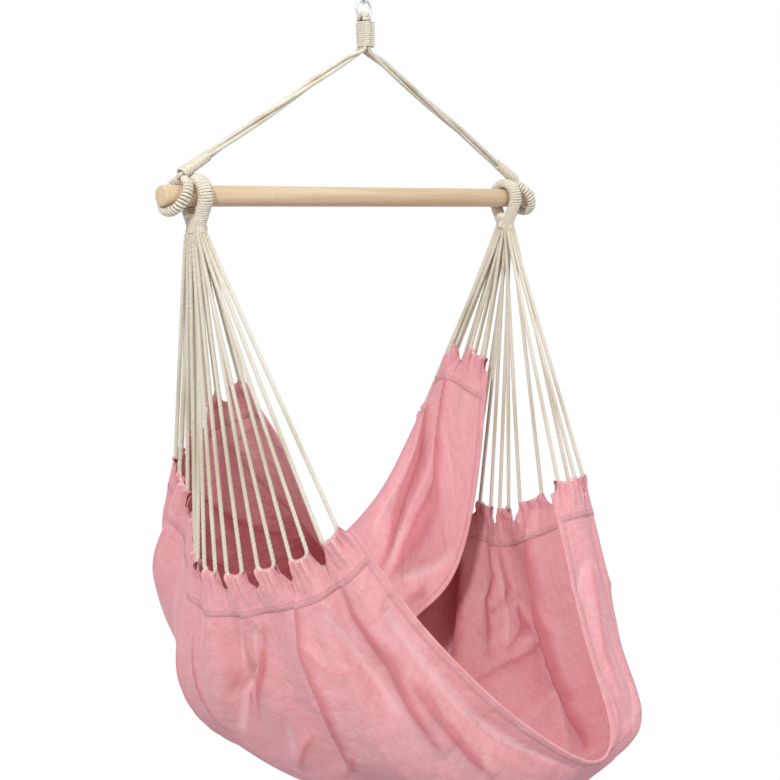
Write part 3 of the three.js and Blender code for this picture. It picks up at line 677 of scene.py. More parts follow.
def beech_wood():
    made, shader = material("beech")
    place = shader.place()
    streaks = shader.streaked(place, (6, 260, 260), 4)
    broad = shader.streaked(place, (2.2, 45, 45), 2)
    fleck = shader.streaked(place, (160, 1500, 1500), 1)
    grain = shader.mix(shader.between(streaks * 0.5 + broad * 0.5, 0.35, 0.68), BEECH_PALE, BEECH_STREAK)
    dark = shader.between(fleck, 0.62, 0.74) * 0.7
    colour = shader.mix(dark, grain, BEECH_FLECK)
    normal = shader.bump(streaks - fleck * 0.4, BEECH_RELIEF, 0.5)
    rough = streaks * 0.16 + 0.42
    shader.surface(Base_Color=colour, Roughness=rough, Normal=normal)
    return made


def bright_steel():
    made, shader = material("steel")
    smear = shader.noise(shader.place(), 260, 3)
    normal = shader.bump(smear, STEEL_RELIEF, 0.4)
    shader.surface(Base_Color=STEEL, Metallic=1.0, Roughness=smear * 0.2 + 0.16, Normal=normal)
    return made


def canvas(name, stitch_rows=(), facing=1):
    """Plain weave with slubs. The map is in metres; stitch rows lie at distances along its second axis."""
    made, shader = material(name)
    cloth = shader.node("ShaderNodeUVMap")
    across, along, _ = shader.separate(cloth)
    warp, weft = ((axis * (TURN / WEAVE_PITCH)).math("SINE") for axis in (across, along))
    threads = shader.streaked(cloth, (1100, 60, 1), 2) + shader.streaked(cloth, (60, 1100, 1), 2)
    flecks = [shader.between(shader.streaked(cloth, scales, 1), 0.62, 0.72)
              for scales in ((900, 190, 1), (190, 900, 1))]
    broad = shader.streaked(cloth, (9, 9, 1), 3)
    worn = shader.streaked(cloth, (70, 70, 1), 3)
    pale = shader.between(threads * 0.8 + broad * 0.5 + worn * 0.4, 1.0, 1.6)
    deep = shader.between(threads * 0.6 - broad * 0.4, 0.32, -0.1)
    colour = shader.mix(pale * 0.45, CANVAS, CANVAS_PALE_AND_HIGHLIGHT)
    colour = shader.mix(deep * 0.4, colour, CANVAS_DEEP_AND_SHADE)
    colour = shader.mix((flecks[0] + flecks[1]) * 0.4, colour, CANVAS_PALE_AND_HIGHLIGHT)
    height = warp * weft * 0.25 + threads * 1.5
    for row in stitch_rows:
        beside = (along - row).math("ABSOLUTE")
        line = shader.between(beside, *STITCH_WIDTHS)
        stitch = shader.between((across * (TURN / STITCH_PITCH)).math("SINE"), -0.75, -0.35)
        dip = shader.between(beside, *STITCH_DIP_WIDTHS)
        # Painted shade in the groove that each stitch row pulls into the cloth
        colour = shader.mix(dip * 0.45, colour, CANVAS_DEEP_AND_SHADE)
        colour = shader.mix(line * stitch * 0.8, colour, CANVAS_PALE_AND_HIGHLIGHT)
        height = height + line * stitch * 4 - dip * 4
    # Painted shade in creases and hollows, darkening the colour towards the deep canvas colour, and painted
    # highlight on ridges, lightening it towards the pale one, both read from the per-vertex attribute.
    painted_shade_and_highlight = shader.node("ShaderNodeAttribute", {"attribute_name": "painted_shading"}, output="Fac") * facing
    colour = shader.mix(shader.between(painted_shade_and_highlight, 0, 1.8) * (broad * 0.8 + 0.25), colour, CANVAS_DEEP_AND_SHADE)
    colour = shader.mix(shader.between(painted_shade_and_highlight, 0, -1.8) * 0.5, colour, CANVAS_PALE_AND_HIGHLIGHT)
    fine = shader.bump(height, WEAVE_RELIEF, 0.8)
    rumples = shader.streaked(cloth, (17, 22, 1), 4) * 12
    for scales, share in (((11, 26, 1), 0.6), ((34, 19, 1), 0.3)):
        away = (shader.streaked(cloth, scales, 2) - 0.5).math("ABSOLUTE")
        rumples = rumples + shader.between(away, 0, 0.06) * share
    normal = shader.bump(rumples, RUMPLE_RELIEF, 0.7, fine)
    shader.surface(Base_Color=colour, Roughness=0.9, Normal=normal, Specular_IOR_Level=0.2,
                   Sheen_Weight=0.6, Sheen_Tint=CANVAS_SHEEN)
    return made


ROPE = cotton_rope()
TWINE = cotton_twine()
WOOD = beech_wood()
METAL = bright_steel()
CLOTH_OUTSIDE = canvas("canvas_outside")
CLOTH_INSIDE = canvas("canvas_inside", facing=-1)
CLOTH_CASING = canvas("canvas_casing", [CASING_DEPTH - margin for margin in CASING_STITCH_MARGINS])
CLOTH_HEM = canvas("canvas_hem", [HEM_DEPTH - HEM_STITCH_MARGIN])


# Steel swivel and ring

def arch(centre, radius, start, end, count):
    angles = np.radians(np.linspace(start, end, count + 1))
    return [(0, radius * math.cos(a), centre + radius * math.sin(a)) for a in angles]


collar_top = BARREL_BOTTOM - CLEARANCE
collar_bottom = collar_top - COLLAR_HEIGHT
lower_arc_centre = collar_bottom - CLEARANCE - RING_WIRE / 2 - LOWER_EYE_REACH / 4
lower_eye_wire = lower_arc_centre - LOWER_EYE_REACH
ring_circle = (RING_BORE + RING_WIRE) / 2
ring_centre = lower_eye_wire + (SWIVEL_WIRE + RING_WIRE) / 2 + CLEARANCE - ring_circle
ring_low_wire = ring_centre - ring_circle


def swivel():
    outer = BARREL_DIAMETER / 2
    grooves = []
    for share in GROOVE_SHARES:
        height = BARREL_BOTTOM + share * (BARREL_TOP - BARREL_BOTTOM)
        for offset, depth in ((-1, 0), (-0.6, 1), (0.6, 1), (1, 0)):
            grooves.append((outer - depth * BARREL_GROOVE, height + offset * BARREL_GROOVE))
    foot = upside_down(rounded_end(outer, -BARREL_BOTTOM, BARREL_ROUND))
    head = rounded_end(outer, BARREL_TOP, BARREL_ROUND)
    barrel = lathed([(0, BARREL_BOTTOM), *foot, *grooves, *head, (0, BARREL_TOP)], TURNED_CORNERS)
    eye_arc = (UPPER_EYE_BORE + SWIVEL_WIRE) / 2
    foot_reach = outer - BARREL_ROUND - SWIVEL_WIRE / 2
    foot_height = BARREL_TOP - SWIVEL_WIRE
    eye = bent_wire([
        (0, foot_reach, foot_height), *arch(-UPPER_EYE_BORE / 2, eye_arc, 0, 180, 16),
        (0, -foot_reach, foot_height),
    ], SWIVEL_WIRE)
    body = joined("swivel", [barrel, eye])
    shown("swivel_barrel_and_eye", body, METAL, "steel", "hanger", "swivel_body")
    half = COLLAR_HEIGHT / 2
    collar = lathed([
        (0, collar_bottom), (outer - half / 2, collar_bottom), (outer, collar_bottom + half / 2),
        (outer, collar_top - half / 2), (outer - half / 2, collar_top), (0, collar_top),
    ], TURNED_CORNERS)
    bow = bent_wire([
        (0, -LOWER_EYE_REACH, collar_top - half),
        *arch(lower_arc_centre, LOWER_EYE_REACH, 180, 360, 14),
        (0, LOWER_EYE_REACH, collar_top - half),
    ], SWIVEL_WIRE)
    lower = joined("lower", [collar, bow])
    shown("swivel_lower_bow", lower, METAL, "steel", "swivel", "swivel_lower_eye")


def ring():
    shape = bmesh.new()
    bmesh.ops.create_circle(
        shape, segments=WIRE_CORNERS, radius=RING_WIRE / 2,
        matrix=Matrix.Translation((ring_circle, 0, 0)),
    )
    spin(shape, (0, 1, 0), RING_CORNERS)
    bmesh.ops.translate(shape, verts=shape.verts, vec=(0, 0, ring_centre))
    shown("steel_ring", finished(shape, "ring"), METAL, "steel", "ring", "ring")


# Spreader bar

def bar():
    end = BAR_LENGTH / 2
    half = rounded_end(BAR_DIAMETER / 2, end, BAR_END_ROUND)
    mesh = lathed([(0, -end), *upside_down(half), *half, (0, end)], BAR_CORNERS)
    mesh.transform(Matrix.Translation((0, 0, -BAR_DROP)) @ Matrix.Rotation(math.pi / 2, 4, "Y"))
    shown("round_bar", mesh, WOOD, "beech", "bar", "spreader_bar")


# Windings

def wound(line, sideways, core_reach, turns, twine, steps=TURN_STEPS):
    """The middle line of twine round a core, which reaches out by the shares' two reaches."""
    shares = np.linspace(0, 1, turns * steps + 1)
    centre = points_at(np.asarray(line), shares)
    way = unit(np.gradient(centre, axis=0))
    side = square_to(np.asarray(sideways, float), way)
    up = np.cross(way, side)
    wide, deep = core_reach(shares)
    angle = TURN * turns * shares
    reach_side = (wide + twine / 2) * np.cos(angle)
    reach_up = (deep + twine / 2) * np.sin(angle)
    return centre + side * reach_side[:, None] + up * reach_up[:, None]


def even_reach(deep, wide=None):
    return lambda shares: (wide or deep, deep)


def twine_piece(name, line, radii, body, *nodes):
    shown(name, swept(line, radii, round_section), TWINE, "cotton_twine", body, *nodes)


def rope_piece(name, meshes, slot, body, *nodes):
    shown(name, joined(name, meshes), ROPE, slot, body, *nodes)


# Top rope eye: two ropes over the ring, whipped together below it

top_loop_reach = (RING_WIRE + TOP_EYE_ROPE) / 2 + CLEARANCE
top_body_depth = 2 * top_loop_reach + TOP_EYE_ROPE
top_body_top = ring_low_wire - RING_WIRE / 2 - CLEARANCE
top_body_foot = top_body_top - TOP_BODY_LENGTH


def top_eye():
    sides = (-top_loop_reach, top_loop_reach)
    loops = []
    for offset in (-TOP_STRAND / 2, TOP_STRAND / 2):
        over = [(offset, y, z) for _, y, z in arch(ring_low_wire, top_loop_reach, 180, 0, 14)]
        first, last = ((offset * STRAND_DRAW_IN, y * TOP_BODY_TAPER, top_body_foot + TOP_STRAND)
                       for y in sides)
        loops.append(rope_mesh([first, *over, last], TOP_STRAND))
    rope_piece("top_eye_ropes", loops, "cotton_rope", "suspension", "top_eye")

    line = np.array([(0, 0, top_body_top - TOP_TWINE / 2), (0, 0, top_body_foot + TOP_TWINE / 2)])

    def body_reach(shares):
        taper = 1 - (1 - TOP_BODY_TAPER) * shares
        return TOP_BODY_WIDTH / 2 * taper, top_body_depth / 2 * taper

    turns = wound(line, (1, 0, 0), body_reach, TOP_TURNS, TOP_TWINE, BODY_TURN_STEPS)
    twine_piece("top_eye_whipping", turns, TOP_TWINE / 2, "suspension", "top_eye_winding")

    def loop_reach(shares):
        wide = (LOOP_WIDTH / 2 - LOOP_TWINE) * (1 + LOOP_SPREAD * np.abs(2 * shares - 1) ** 1.5)
        return wide, TOP_EYE_ROPE / 2 - LOOP_TWINE

    first, last = ((0, y, top_body_top) for y in sides)
    over = [first, *arch(ring_low_wire, top_loop_reach, 180, 0, 40), last]
    over_turns = wound(over, (1, 0, 0), loop_reach, LOOP_TURNS, LOOP_TWINE)
    twine_piece("top_eye_loop_whipping", over_turns, LOOP_TWINE / 2, "suspension")

    corner = np.array((TOP_BODY_WIDTH / 2 + TOP_TWINE, -top_body_depth / 2, 0)) * TOP_BODY_TAPER
    hitches = wound(line + corner, (1, 0, 0), even_reach(HITCH_REACH), TOP_TURNS, HITCH_TWINE)
    twine_piece("top_eye_hitches", hitches, HITCH_TWINE / 2, "suspension")


# Slings and legs

def stand_off(twine, core_reach):
    """How far the CAD's twine, of few corners to a turn, keeps its middle line from the core's."""
    return (core_reach + twine / 2 + TWINE_ROOM) / math.cos(math.pi / TURN_CORNERS)


sling_coil = stand_off(SLING_TWINE, SLING_CORE / 2)
sling_coil_reach = stand_off(SLING_TWINE, SLING_WIDTH / 2)
sling_room = math.hypot(sling_coil_reach * math.sin(SLING_TILT), sling_coil * math.cos(SLING_TILT))
sling_ring = (BAR_DIAMETER / 2 + CLEARANCE + sling_room + SLING_TWINE / 2) / math.cos(SLING_TILT)
sling_centre_x = BAR_LENGTH / 2 - SLING_INSET


def stem_base(side):
    return Vector((
        side * (sling_centre_x - sling_ring * math.sin(SLING_TILT)), 0,
        -BAR_DROP + sling_ring * math.cos(SLING_TILT) + STEM_RISE,
    ))


def leg_top(side):
    return Vector((side * LEG_FOOT_X, 0, top_body_foot - CLEARANCE))


def stem_way(side):
    return (leg_top(side) - stem_base(side)).normalized()


def ring_line(radius, start, end, tilt, centre, count=160):
    """Part of a ring square to the bar, its angles counted from straight up towards the back."""
    angles = np.linspace(start, end, count)
    ring_points = np.stack([np.zeros(count), radius * np.sin(angles), radius * np.cos(angles)], axis=1)
    turn = np.array(Matrix.Rotation(tilt, 3, "Y"))
    return ring_points @ turn.T + np.array(centre)


def sling(label, side):
    centre = (side * sling_centre_x, 0, -BAR_DROP)
    tilt = -side * SLING_TILT
    core = ring_line(sling_ring, 0, TURN, tilt, centre)
    base = stem_base(side)
    way = stem_way(side)
    stem = [base - way * STEM_RISE, base + way * STEM_LENGTH]
    ropes = [rope_mesh(core, SLING_CORE, 0), rope_mesh(stem, STEM_CORE, 0)]
    rope_piece(f"sling_rope_{label}", ropes, "cotton_rope", "suspension", f"sling_{label}")

    half = SLING_SWEEP / 2
    path = ring_line(sling_ring, math.pi - half, math.pi + half, tilt, centre)
    inside = SLING_TWINE / 2 - SLING_YARN
    coil = even_reach(sling_coil + inside, sling_coil_reach + inside)
    sideways = Matrix.Rotation(tilt, 3, "Y").col[0]
    turns = wound(path, sideways, coil, SLING_TURNS, SLING_YARN)
    spread = np.linalg.norm(turns - np.array(centre), axis=1) / sling_ring
    radii = SLING_YARN / 2 * spread ** 1.3
    twine_piece(f"sling_whipping_{label}", turns, radii, "suspension", f"sling_winding_{label}")

    def swelling(shares):
        reach = STEM_REACH - STEM_TAPER * shares
        return reach, reach

    line = [base - way * STEM_COVER, base + way * STEM_LENGTH]
    turns = wound(line, (0, 1, 0), swelling, STEM_TURNS, STEM_TWINE)
    twine_piece(f"stem_whipping_{label}", turns, STEM_TWINE / 2, "suspension", f"stem_winding_{label}")


def legs(label, side):
    steps = 11
    top = leg_top(side)
    way = stem_way(side)
    foot = stem_base(side) + way * (STEM_LENGTH + CLEARANCE)
    across = Vector((0, 1, 0))
    over = across.cross(way).normalized()
    for strand, order in enumerate((0, -1, 1)):
        def place(share):
            turn = TURN * (strand / 3 + LEG_TWIST * share + 1 / 4)
            sideways = across * (LEG_BUNCH * math.cos(turn)) + over * (LEG_BUNCH * math.sin(turn))
            return top.lerp(foot, share) + sideways

        start = Vector((top.x, LEG_FOOT_Y * order, top.z))
        down = Vector((0, 0, -LEG_SQUARE_RUN))
        end = place(1)
        points = [
            start - 2 * down, start + down, *[place(k / steps) for k in range(1, steps)],
            end + way * LEG_SQUARE_RUN, end - way * LEG_HIDDEN_RUN,
        ]
        cord = rope_mesh(points, LEG_CORD * LEG_FULLNESS, outline=round_section)
        name = f"{label}_{strand + 1}"
        rope_piece(f"leg_cord_{name}", [cord], "cotton_cord", "suspension", f"leg_{name}")


# Seat eyes, necks and tails

eye_coil = stand_off(EYE_TWINE, EYE_CORE / 2)
eye_coil_reach = stand_off(EYE_TWINE, EYE_WIDTH / 2)
eye_ring = BAR_DIAMETER / 2 + CLEARANCE + eye_coil + EYE_TWINE / 2


def eye_centre(side):
    return np.array((side * (BAR_LENGTH / 2 - EYE_INSET), 0, -BAR_DROP))


def seat_eye(label, side):
    centre = eye_centre(side)
    arc = ring_line(eye_ring, -EYE_ARC, EYE_ARC, 0, centre)
    ends = [arc[0] + unit(arc[0] - arc[1]) * EYE_RUN, arc[-1] + unit(arc[-1] - arc[-2]) * EYE_RUN]
    path = evenly(np.concatenate([ends[:1], arc, ends[1:]]), ROPE_STEP)
    rope = rope_mesh(path, EYE_CORE, 0)
    rope_piece(f"seat_eye_rope_{label}", [rope], "cotton_rope", "seat", f"seat_eye_{label}")
    inside = EYE_TWINE / 2 - EYE_YARN

    def coil(shares):
        narrowed = 1 - EYE_NARROWING * smooth_ramp(np.abs(2 * shares - 1), 0.5, 1)
        return (eye_coil_reach + inside) * narrowed, eye_coil + inside

    turns = wound(path, (1, 0, 0), coil, EYE_TURNS, EYE_YARN, EYE_TURN_STEPS)
    spread = np.linalg.norm((turns - centre)[:, 1:], axis=1) / eye_ring
    radii = EYE_YARN / 2 * np.clip(spread, 0.8, 1.25) ** 1.2
    twine_piece(f"seat_eye_whipping_{label}", turns, radii, "seat", f"seat_eye_winding_{label}")


def neck(label, side):
    centre = eye_centre(side)
    shape = bmesh.new()
    rings = []
    for width, depth, drop in NECK_LEVELS:
        size = Matrix.Diagonal((width / 2, depth / 2, 1, 1))
        level = Matrix.Translation(centre + (0, 0, -drop))
        made = bmesh.ops.create_circle(shape, cap_ends=False, segments=40, radius=1, matrix=level @ size)
        rings.append({edge for vert in made["verts"] for edge in vert.link_edges})
    for upper, lower in zip(rings, rings[1:]):
        bmesh.ops.bridge_loops(shape, edges=list(upper | lower))
    for edge_ring in (rings[0], rings[-1]):
        bmesh.ops.holes_fill(shape, edges=list(edge_ring))
    bmesh.ops.recalc_face_normals(shape, faces=shape.faces)
    shown(f"neck_core_{label}", finished(shape, "neck"), TWINE, "cotton_rope", "seat")

    def reach(shares):
        drop = NECK_WRAP_TOP + (NECK_FOOT - NECK_WRAP_TOP) * shares
        return [np.interp(drop, NECK_LEVELS[:, 2], NECK_LEVELS[:, k]) / 2 for k in range(2)]

    line = [centre - (0, 0, drop) for drop in (NECK_WRAP_TOP, NECK_FOOT)]
    turns = wound(line, (1, 0, 0), reach, NECK_TURNS, NECK_TWINE, BODY_TURN_STEPS)
    twine_piece(f"neck_whipping_{label}", turns, NECK_TWINE / 2, "seat", f"neck_winding_{label}")


def tail(label, side):
    points = [
        eye_centre(side) - (side * TAIL_REACH * out, 0.2 * TAIL_REACH, TAIL_DROP + drop * TAIL_LENGTH)
        for out, drop in TAIL_SHARES
    ]
    line = evenly(smoothed(points), ROPE_STEP)
    swell = np.interp(np.linspace(0, 1, len(line)), *TAIL_SWELL_SHARES)
    mesh = swept(line, TAIL_DIAMETER / 2 * swell, three_strands, TAIL_TWIST)
    shown(f"tail_rope_{label}", mesh, ROPE, "cotton_rope", "seat", f"tail_{label}")


# The seat's skin: u from the left casing to the right one, v from the front hem back

net = np.array(SEAT_SHARES) * (SEAT_HALF_WIDTH, SEAT_REACH, -SEAT_DROP) - (0, 0, BAR_DROP)
net = np.concatenate([2 * net[:1] - net[1:2], net, 2 * net[-1:] - net[-2:-1]])
net = np.concatenate([2 * net[:, :1] - net[:, 1:2], net, 2 * net[:, -1:] - net[:, -2:-1]], axis=1)


def spline_weights(share, spans):
    """The span that a share falls in, and the weights there of four net points in a row."""
    span = np.clip(np.floor(share * spans).astype(int), 0, spans - 1)
    w = share * spans - span
    return span, np.stack([
        (-w + 2 * w ** 2 - w ** 3) / 2, (2 - 5 * w ** 2 + 3 * w ** 3) / 2,
        (w + 4 * w ** 2 - 3 * w ** 3) / 2, (-w ** 2 + w ** 3) / 2,
    ])


def skin(u, v):
    u, v = np.broadcast_arrays(np.asarray(u, float), np.asarray(v, float))
    column, across = spline_weights(u, net.shape[1] - 3)
    row, along = spline_weights(v, net.shape[0] - 3)
    place = np.zeros(u.shape + (3,))
    for i in range(4):
        for j in range(4):
            place += (along[i] * across[j])[..., None] * net[row + i, column + j]
    return place


def skin_slope(u, v, axis):
    """The skin's way and stretch along u (axis 0) or v (axis 1), in metres for each whole share."""
    du, dv = (SHARE_STEP, 0) if axis == 0 else (0, SHARE_STEP)
    low = np.clip(u - du, 0, 1), np.clip(v - dv, 0, 1)
    high = np.clip(u + du, 0, 1), np.clip(v + dv, 0, 1)
    return (skin(*high) - skin(*low)) / (high[axis] - low[axis])[..., None]


def skin_normal(u, v):
    return unit(np.cross(skin_slope(u, v, 1), skin_slope(u, v, 0)))


def fold_height(u, v):
    height = np.zeros(np.broadcast(u, v).shape)
    for (start, end), (first, last), rise in MAIN_FOLDS:
        share = np.clip((u - start) / (end - start), 0, 1)
        away = (v - (first + (last - first) * share)) * SEAT_DROP / FOLD_WIDTH
        height += rise * FOLD_WIDTH * np.sin(math.pi * share) ** 0.7 * np.exp(-away ** 2 / 2)
    return height


def small_creases():
    """Short creases here and there, as of cloth that has been folded up."""
    chance = np.random.default_rng(SMALL_CREASE_SEED)
    made = []
    for _ in range(SMALL_CREASES):
        u, v = chance.uniform(0.07, 0.93), chance.uniform(0.05, 0.95)
        turn = chance.uniform(0, math.pi)
        half = chance.uniform(*SMALL_CREASE_REACH)
        way = np.array((math.cos(turn), math.sin(turn))) * half
        bend = np.array((-way[1], way[0])) * chance.uniform(-0.4, 0.4)
        points = [(u - way[0], v - way[1]), (u + bend[0], v + bend[1]), (u + way[0], v + way[1])]
        rise = chance.uniform(*SMALL_CREASE_RISE) * chance.choice((-1, 1))
        made.append((points, rise, SMALL_CREASE_WIDTH, chance.uniform(-0.5, 0.5)))
    return made


def crease_height(u, v):
    place = np.stack(np.broadcast_arrays(u, v), axis=-1) * (CLOTH_ACROSS, CLOTH_DEEP)
    spots = place.reshape(-1, 2)
    height = np.zeros(len(spots))
    for points, rise, width, lean in all_creases:
        line = np.array(points) * (CLOTH_ACROSS, CLOTH_DEEP)
        runs = runs_along(line)
        room = CREASE_SPREAD * width * MM
        close = ((spots > line.min(axis=0) - room) & (spots < line.max(axis=0) + room)).all(axis=1)
        spot = spots[close]
        nearest = np.full(len(spot), np.inf)
        along = np.zeros(len(spot))
        behind = np.zeros(len(spot))
        for k, (first, second) in enumerate(zip(line[:-1], line[1:])):
            way = second - first
            share = np.clip((spot - first) @ way / (way @ way), 0, 1)
            offset = spot - first - share[:, None] * way
            gap = np.linalg.norm(offset, axis=1)
            closer = gap < nearest
            nearest = np.where(closer, gap, nearest)
            along = np.where(closer, (runs[k] + (runs[k + 1] - runs[k]) * share) / runs[-1], along)
            behind = np.where(closer, np.sign(way[0] * offset[:, 1] - way[1] * offset[:, 0]), behind)
        away = nearest / (width * MM * (1 + lean * behind))
        fade = np.sin(math.pi * along) ** CREASE_FADE
        slope = np.exp(CREASE_ROUNDING ** 0.5 - np.sqrt(away ** 2 + CREASE_ROUNDING))
        height[close] += rise * MM * fade * slope
    return height.reshape(place.shape[:-1])


all_creases = CREASES + small_creases()


def gather_height(u, v):
    near = np.minimum(u, 1 - u)
    rise = smooth_ramp(near, 0, 0.08)
    fade = 1 - smooth_ramp(near, 0.08, 0.34)
    uneven = 0.65 + 0.45 * np.sin(TURN * 3.4 * v + 5 * u)
    height = EDGE_GATHER_HEIGHT + (GATHER_HEIGHT * uneven - EDGE_GATHER_HEIGHT) * rise
    return -height * fade * np.cos(TURN * TABS * v)


def painted_shading(u, v):
    """How far the cloth lies under its surroundings, as a share of a deep crease: the canvas paints shade
    where it lies under them and highlight where it stands above.
    """
    own = crease_height(u, v)
    shares = 0
    for reach, depth in ((SHADING_REACH, SHADING_DEPTH), (WIDE_SHADING_REACH, WIDE_SHADING_DEPTH)):
        du, dv = reach / CLOTH_ACROSS, reach / CLOTH_DEEP
        around = [crease_height(u + across * du, v + along * dv)
                  for across, along in ((1, 0), (-1, 0), (0, 1), (0, -1))]
        shares = shares + (sum(around) / 4 - own) / depth
    return shares


# Stores the per-vertex share of painted shade and painted highlight that the canvas materials read.
def keep_painted_shading(mesh, shares):
    layer = mesh.attributes.new("painted_shading", "FLOAT", "POINT")
    layer.data.foreach_set("value", shares)


def seat_place(u, v, creased=True):
    u, v = np.broadcast_arrays(np.asarray(u, float), np.asarray(v, float))
    lift = fold_height(u, v) + gather_height(u, v)
    if creased:
        lift = lift + crease_height(u, v)
    return skin(u, v) + skin_normal(u, v) * lift[..., None]


def inward_from(u, v):
    """The way into the cloth from one of its two casing edges, square to the edge."""
    v = np.asarray(v, float)
    edge = unit(skin(u, v + EDGE_STEP) - skin(u, v - EDGE_STEP))
    return square_to(skin(abs(u - EDGE_STEP), v) - skin(u, v), edge)


cord_touch = (SEAT_CORD + CAD_CLOTH) / 2


def tab_feet(side, tab):
    """Where a cord comes down at a tab, touches the middle of its edge and goes up again."""
    u = (side + 1) / 2
    ends = [(tab + share) / TABS for share in (TAB_END_SHARE, 1 - TAB_END_SHARE)]
    outward = -inward_from(u, sum(ends) / 2)
    front, back = (seat_place(u, v, creased=False) + outward * cord_touch for v in ends)
    middle = (front + back) / 2
    return front + outward * CORD_FOOT_LIFT, middle, back + outward * CORD_FOOT_LIFT


def grid_mesh(columns, rows, tiles=1):
    """A grid from -1 to 1 both ways. Further tiles stand beside it, each tile a step of 3 on."""
    shape = bmesh.new()
    shape.loops.layers.uv.new("UVMap")
    for tile in range(tiles):
        bmesh.ops.create_grid(
            shape, x_segments=columns, y_segments=rows, size=1,
            matrix=Matrix.Translation((3 * tile, 0, 0)), calc_uvs=True,
        )
    return finished(shape, "grid")


def thickened(piece, thickness):
    wall = piece.modifiers.new("thickness", "SOLIDIFY")
    wall.thickness = thickness
    wall.offset = 0
    return wall


def cloth_body():
    mesh = grid_mesh(*CLOTH_GRID)
    places = coordinates(mesh)
    hidden = (NOTCH_DEPTH + CASING_COVER) / CLOTH_ACROSS
    u = hidden + (1 - 2 * hidden) * (places[:, 0] + 1) / 2
    v = EDGE_SHARE + (1 - 2 * EDGE_SHARE) * (places[:, 1] + 1) / 2
    place_vertices(mesh, seat_place(u, v))
    lay_map(mesh, u * CLOTH_ACROSS, v * CLOTH_DEEP)
    # Painted shade in the creases and painted highlight on their ridges
    keep_painted_shading(mesh, painted_shading(u, v))
    piece = shown("canvas_seat", mesh, CLOTH_OUTSIDE, "canvas", "seat", "seat")
    mesh.materials.append(CLOTH_INSIDE)
    wall = thickened(piece, CLOTH)
    wall.material_offset = 1
    wall.material_offset_rim = 0
    return piece


def turned_over(w, roll_share):
    """Where on a band that goes over an edge: its angle round the roll and its share of a leg."""
    angle = np.clip(w / roll_share, -1, 1) * math.pi / 2
    leg = np.clip((np.abs(w) - roll_share) / (1 - roll_share), 0, 1)
    return angle, leg


def band(name, mesh, material):
    piece = shown(name, mesh, material, "canvas", "seat")
    thickened(piece, BAND_CLOTH)
    return piece


def casing(label, side):
    """The gathered double band at one end, cut into tabs that the cords pass through."""
    mesh = grid_mesh(*CASING_GRID, TABS)
    places = coordinates(mesh)
    tab = np.round(places[:, 0] / 3)
    q = places[:, 0] - 3 * tab
    angle, leg = turned_over(places[:, 1], CASING_ROLL_SHARE)
    roll = SEAT_CORD / 2 + SLEEVE_SLACK + BAND_CLOTH / 2
    inward = np.where(leg > 0, leg * CASING_DEPTH, -roll * np.cos(angle))
    closed = (CLOTH + BAND_CLOTH) / 2 + CASING_GAP
    swell = closed + (roll - closed) * (1 - smooth_ramp(inward, CASING_ROLL_RUN, NOTCH_DEPTH))

    cut = NOTCH_DEPTH + cord_touch
    depth_share = np.clip(inward, 0, cut) / cut
    notch_share = (1 - TAB_TOP_SHARE) * (1 - depth_share ** 2) ** 0.8
    hem_share = HEM_SLANT_SHARE * (1 - depth_share)
    at_hem = ((tab == 0) & (q < 0)) | ((tab == TABS - 1) & (q > 0))
    width = 1 - np.where(at_hem, hem_share, notch_share)
    within = q * width / 2
    v = (tab + 0.5 + within) / TABS

    edge = (side + 1) / 2
    reach = inward - cord_touch
    stretch = np.linalg.norm(skin_slope(np.full_like(v, edge), v, 0), axis=-1)
    inner = np.abs(edge - np.clip(reach, 0, None) / stretch)
    outward = -inward_from(edge, np.clip(v, EDGE_ROOM, 1 - EDGE_ROOM))
    surface = seat_place(inner, v) + outward * np.clip(-reach, 0, None)[:, None]

    feet = np.array([tab_feet(side, k) for k in range(TABS)])
    front, middle, back = (feet[tab.astype(int), k] for k in range(3))
    across = np.clip(within * 4, -1.6, 1.6)[:, None]
    lift = (front + back) / 2 - middle
    cord_line = middle + across * (back - front) / 2 + lift * across ** 2
    start = seat_place(edge, v) + outward * cord_touch
    fade = (1 - smooth_ramp(inward, 0, cut))[:, None]
    surface = surface + (cord_line - start) * fade

    narrow = np.cos(TURN * 5.2 * within + 1.7 * tab)
    broad = np.cos(TURN * 2.7 * within + tab)
    ripple = 0.6 * narrow + 0.4 * broad
    fading = 1 - smooth_ramp(inward, 0, 0.85 * CASING_DEPTH)
    pucker = PUCKER_HEIGHT * ripple * fading * np.where(leg > 0, 1, np.abs(np.sin(angle)))
    lift_off = swell * np.sin(angle) + pucker
    place_vertices(mesh, surface + skin_normal(inner, v) * lift_off[:, None])
    lay_map(mesh, v * CLOTH_DEEP * CASING_FULLNESS, inward)
    # Painted shade in the pucker valleys and painted highlight on their crests
    keep_painted_shading(mesh, -ripple * fading * CASING_PAINTED_SHADING)

    shape = bmesh.new()
    shape.from_mesh(mesh)
    bmesh.ops.remove_doubles(shape, verts=shape.verts, dist=MERGE_REACH)
    return band(f"casing_{label}", finished(shape, "casing"), CLOTH_CASING)


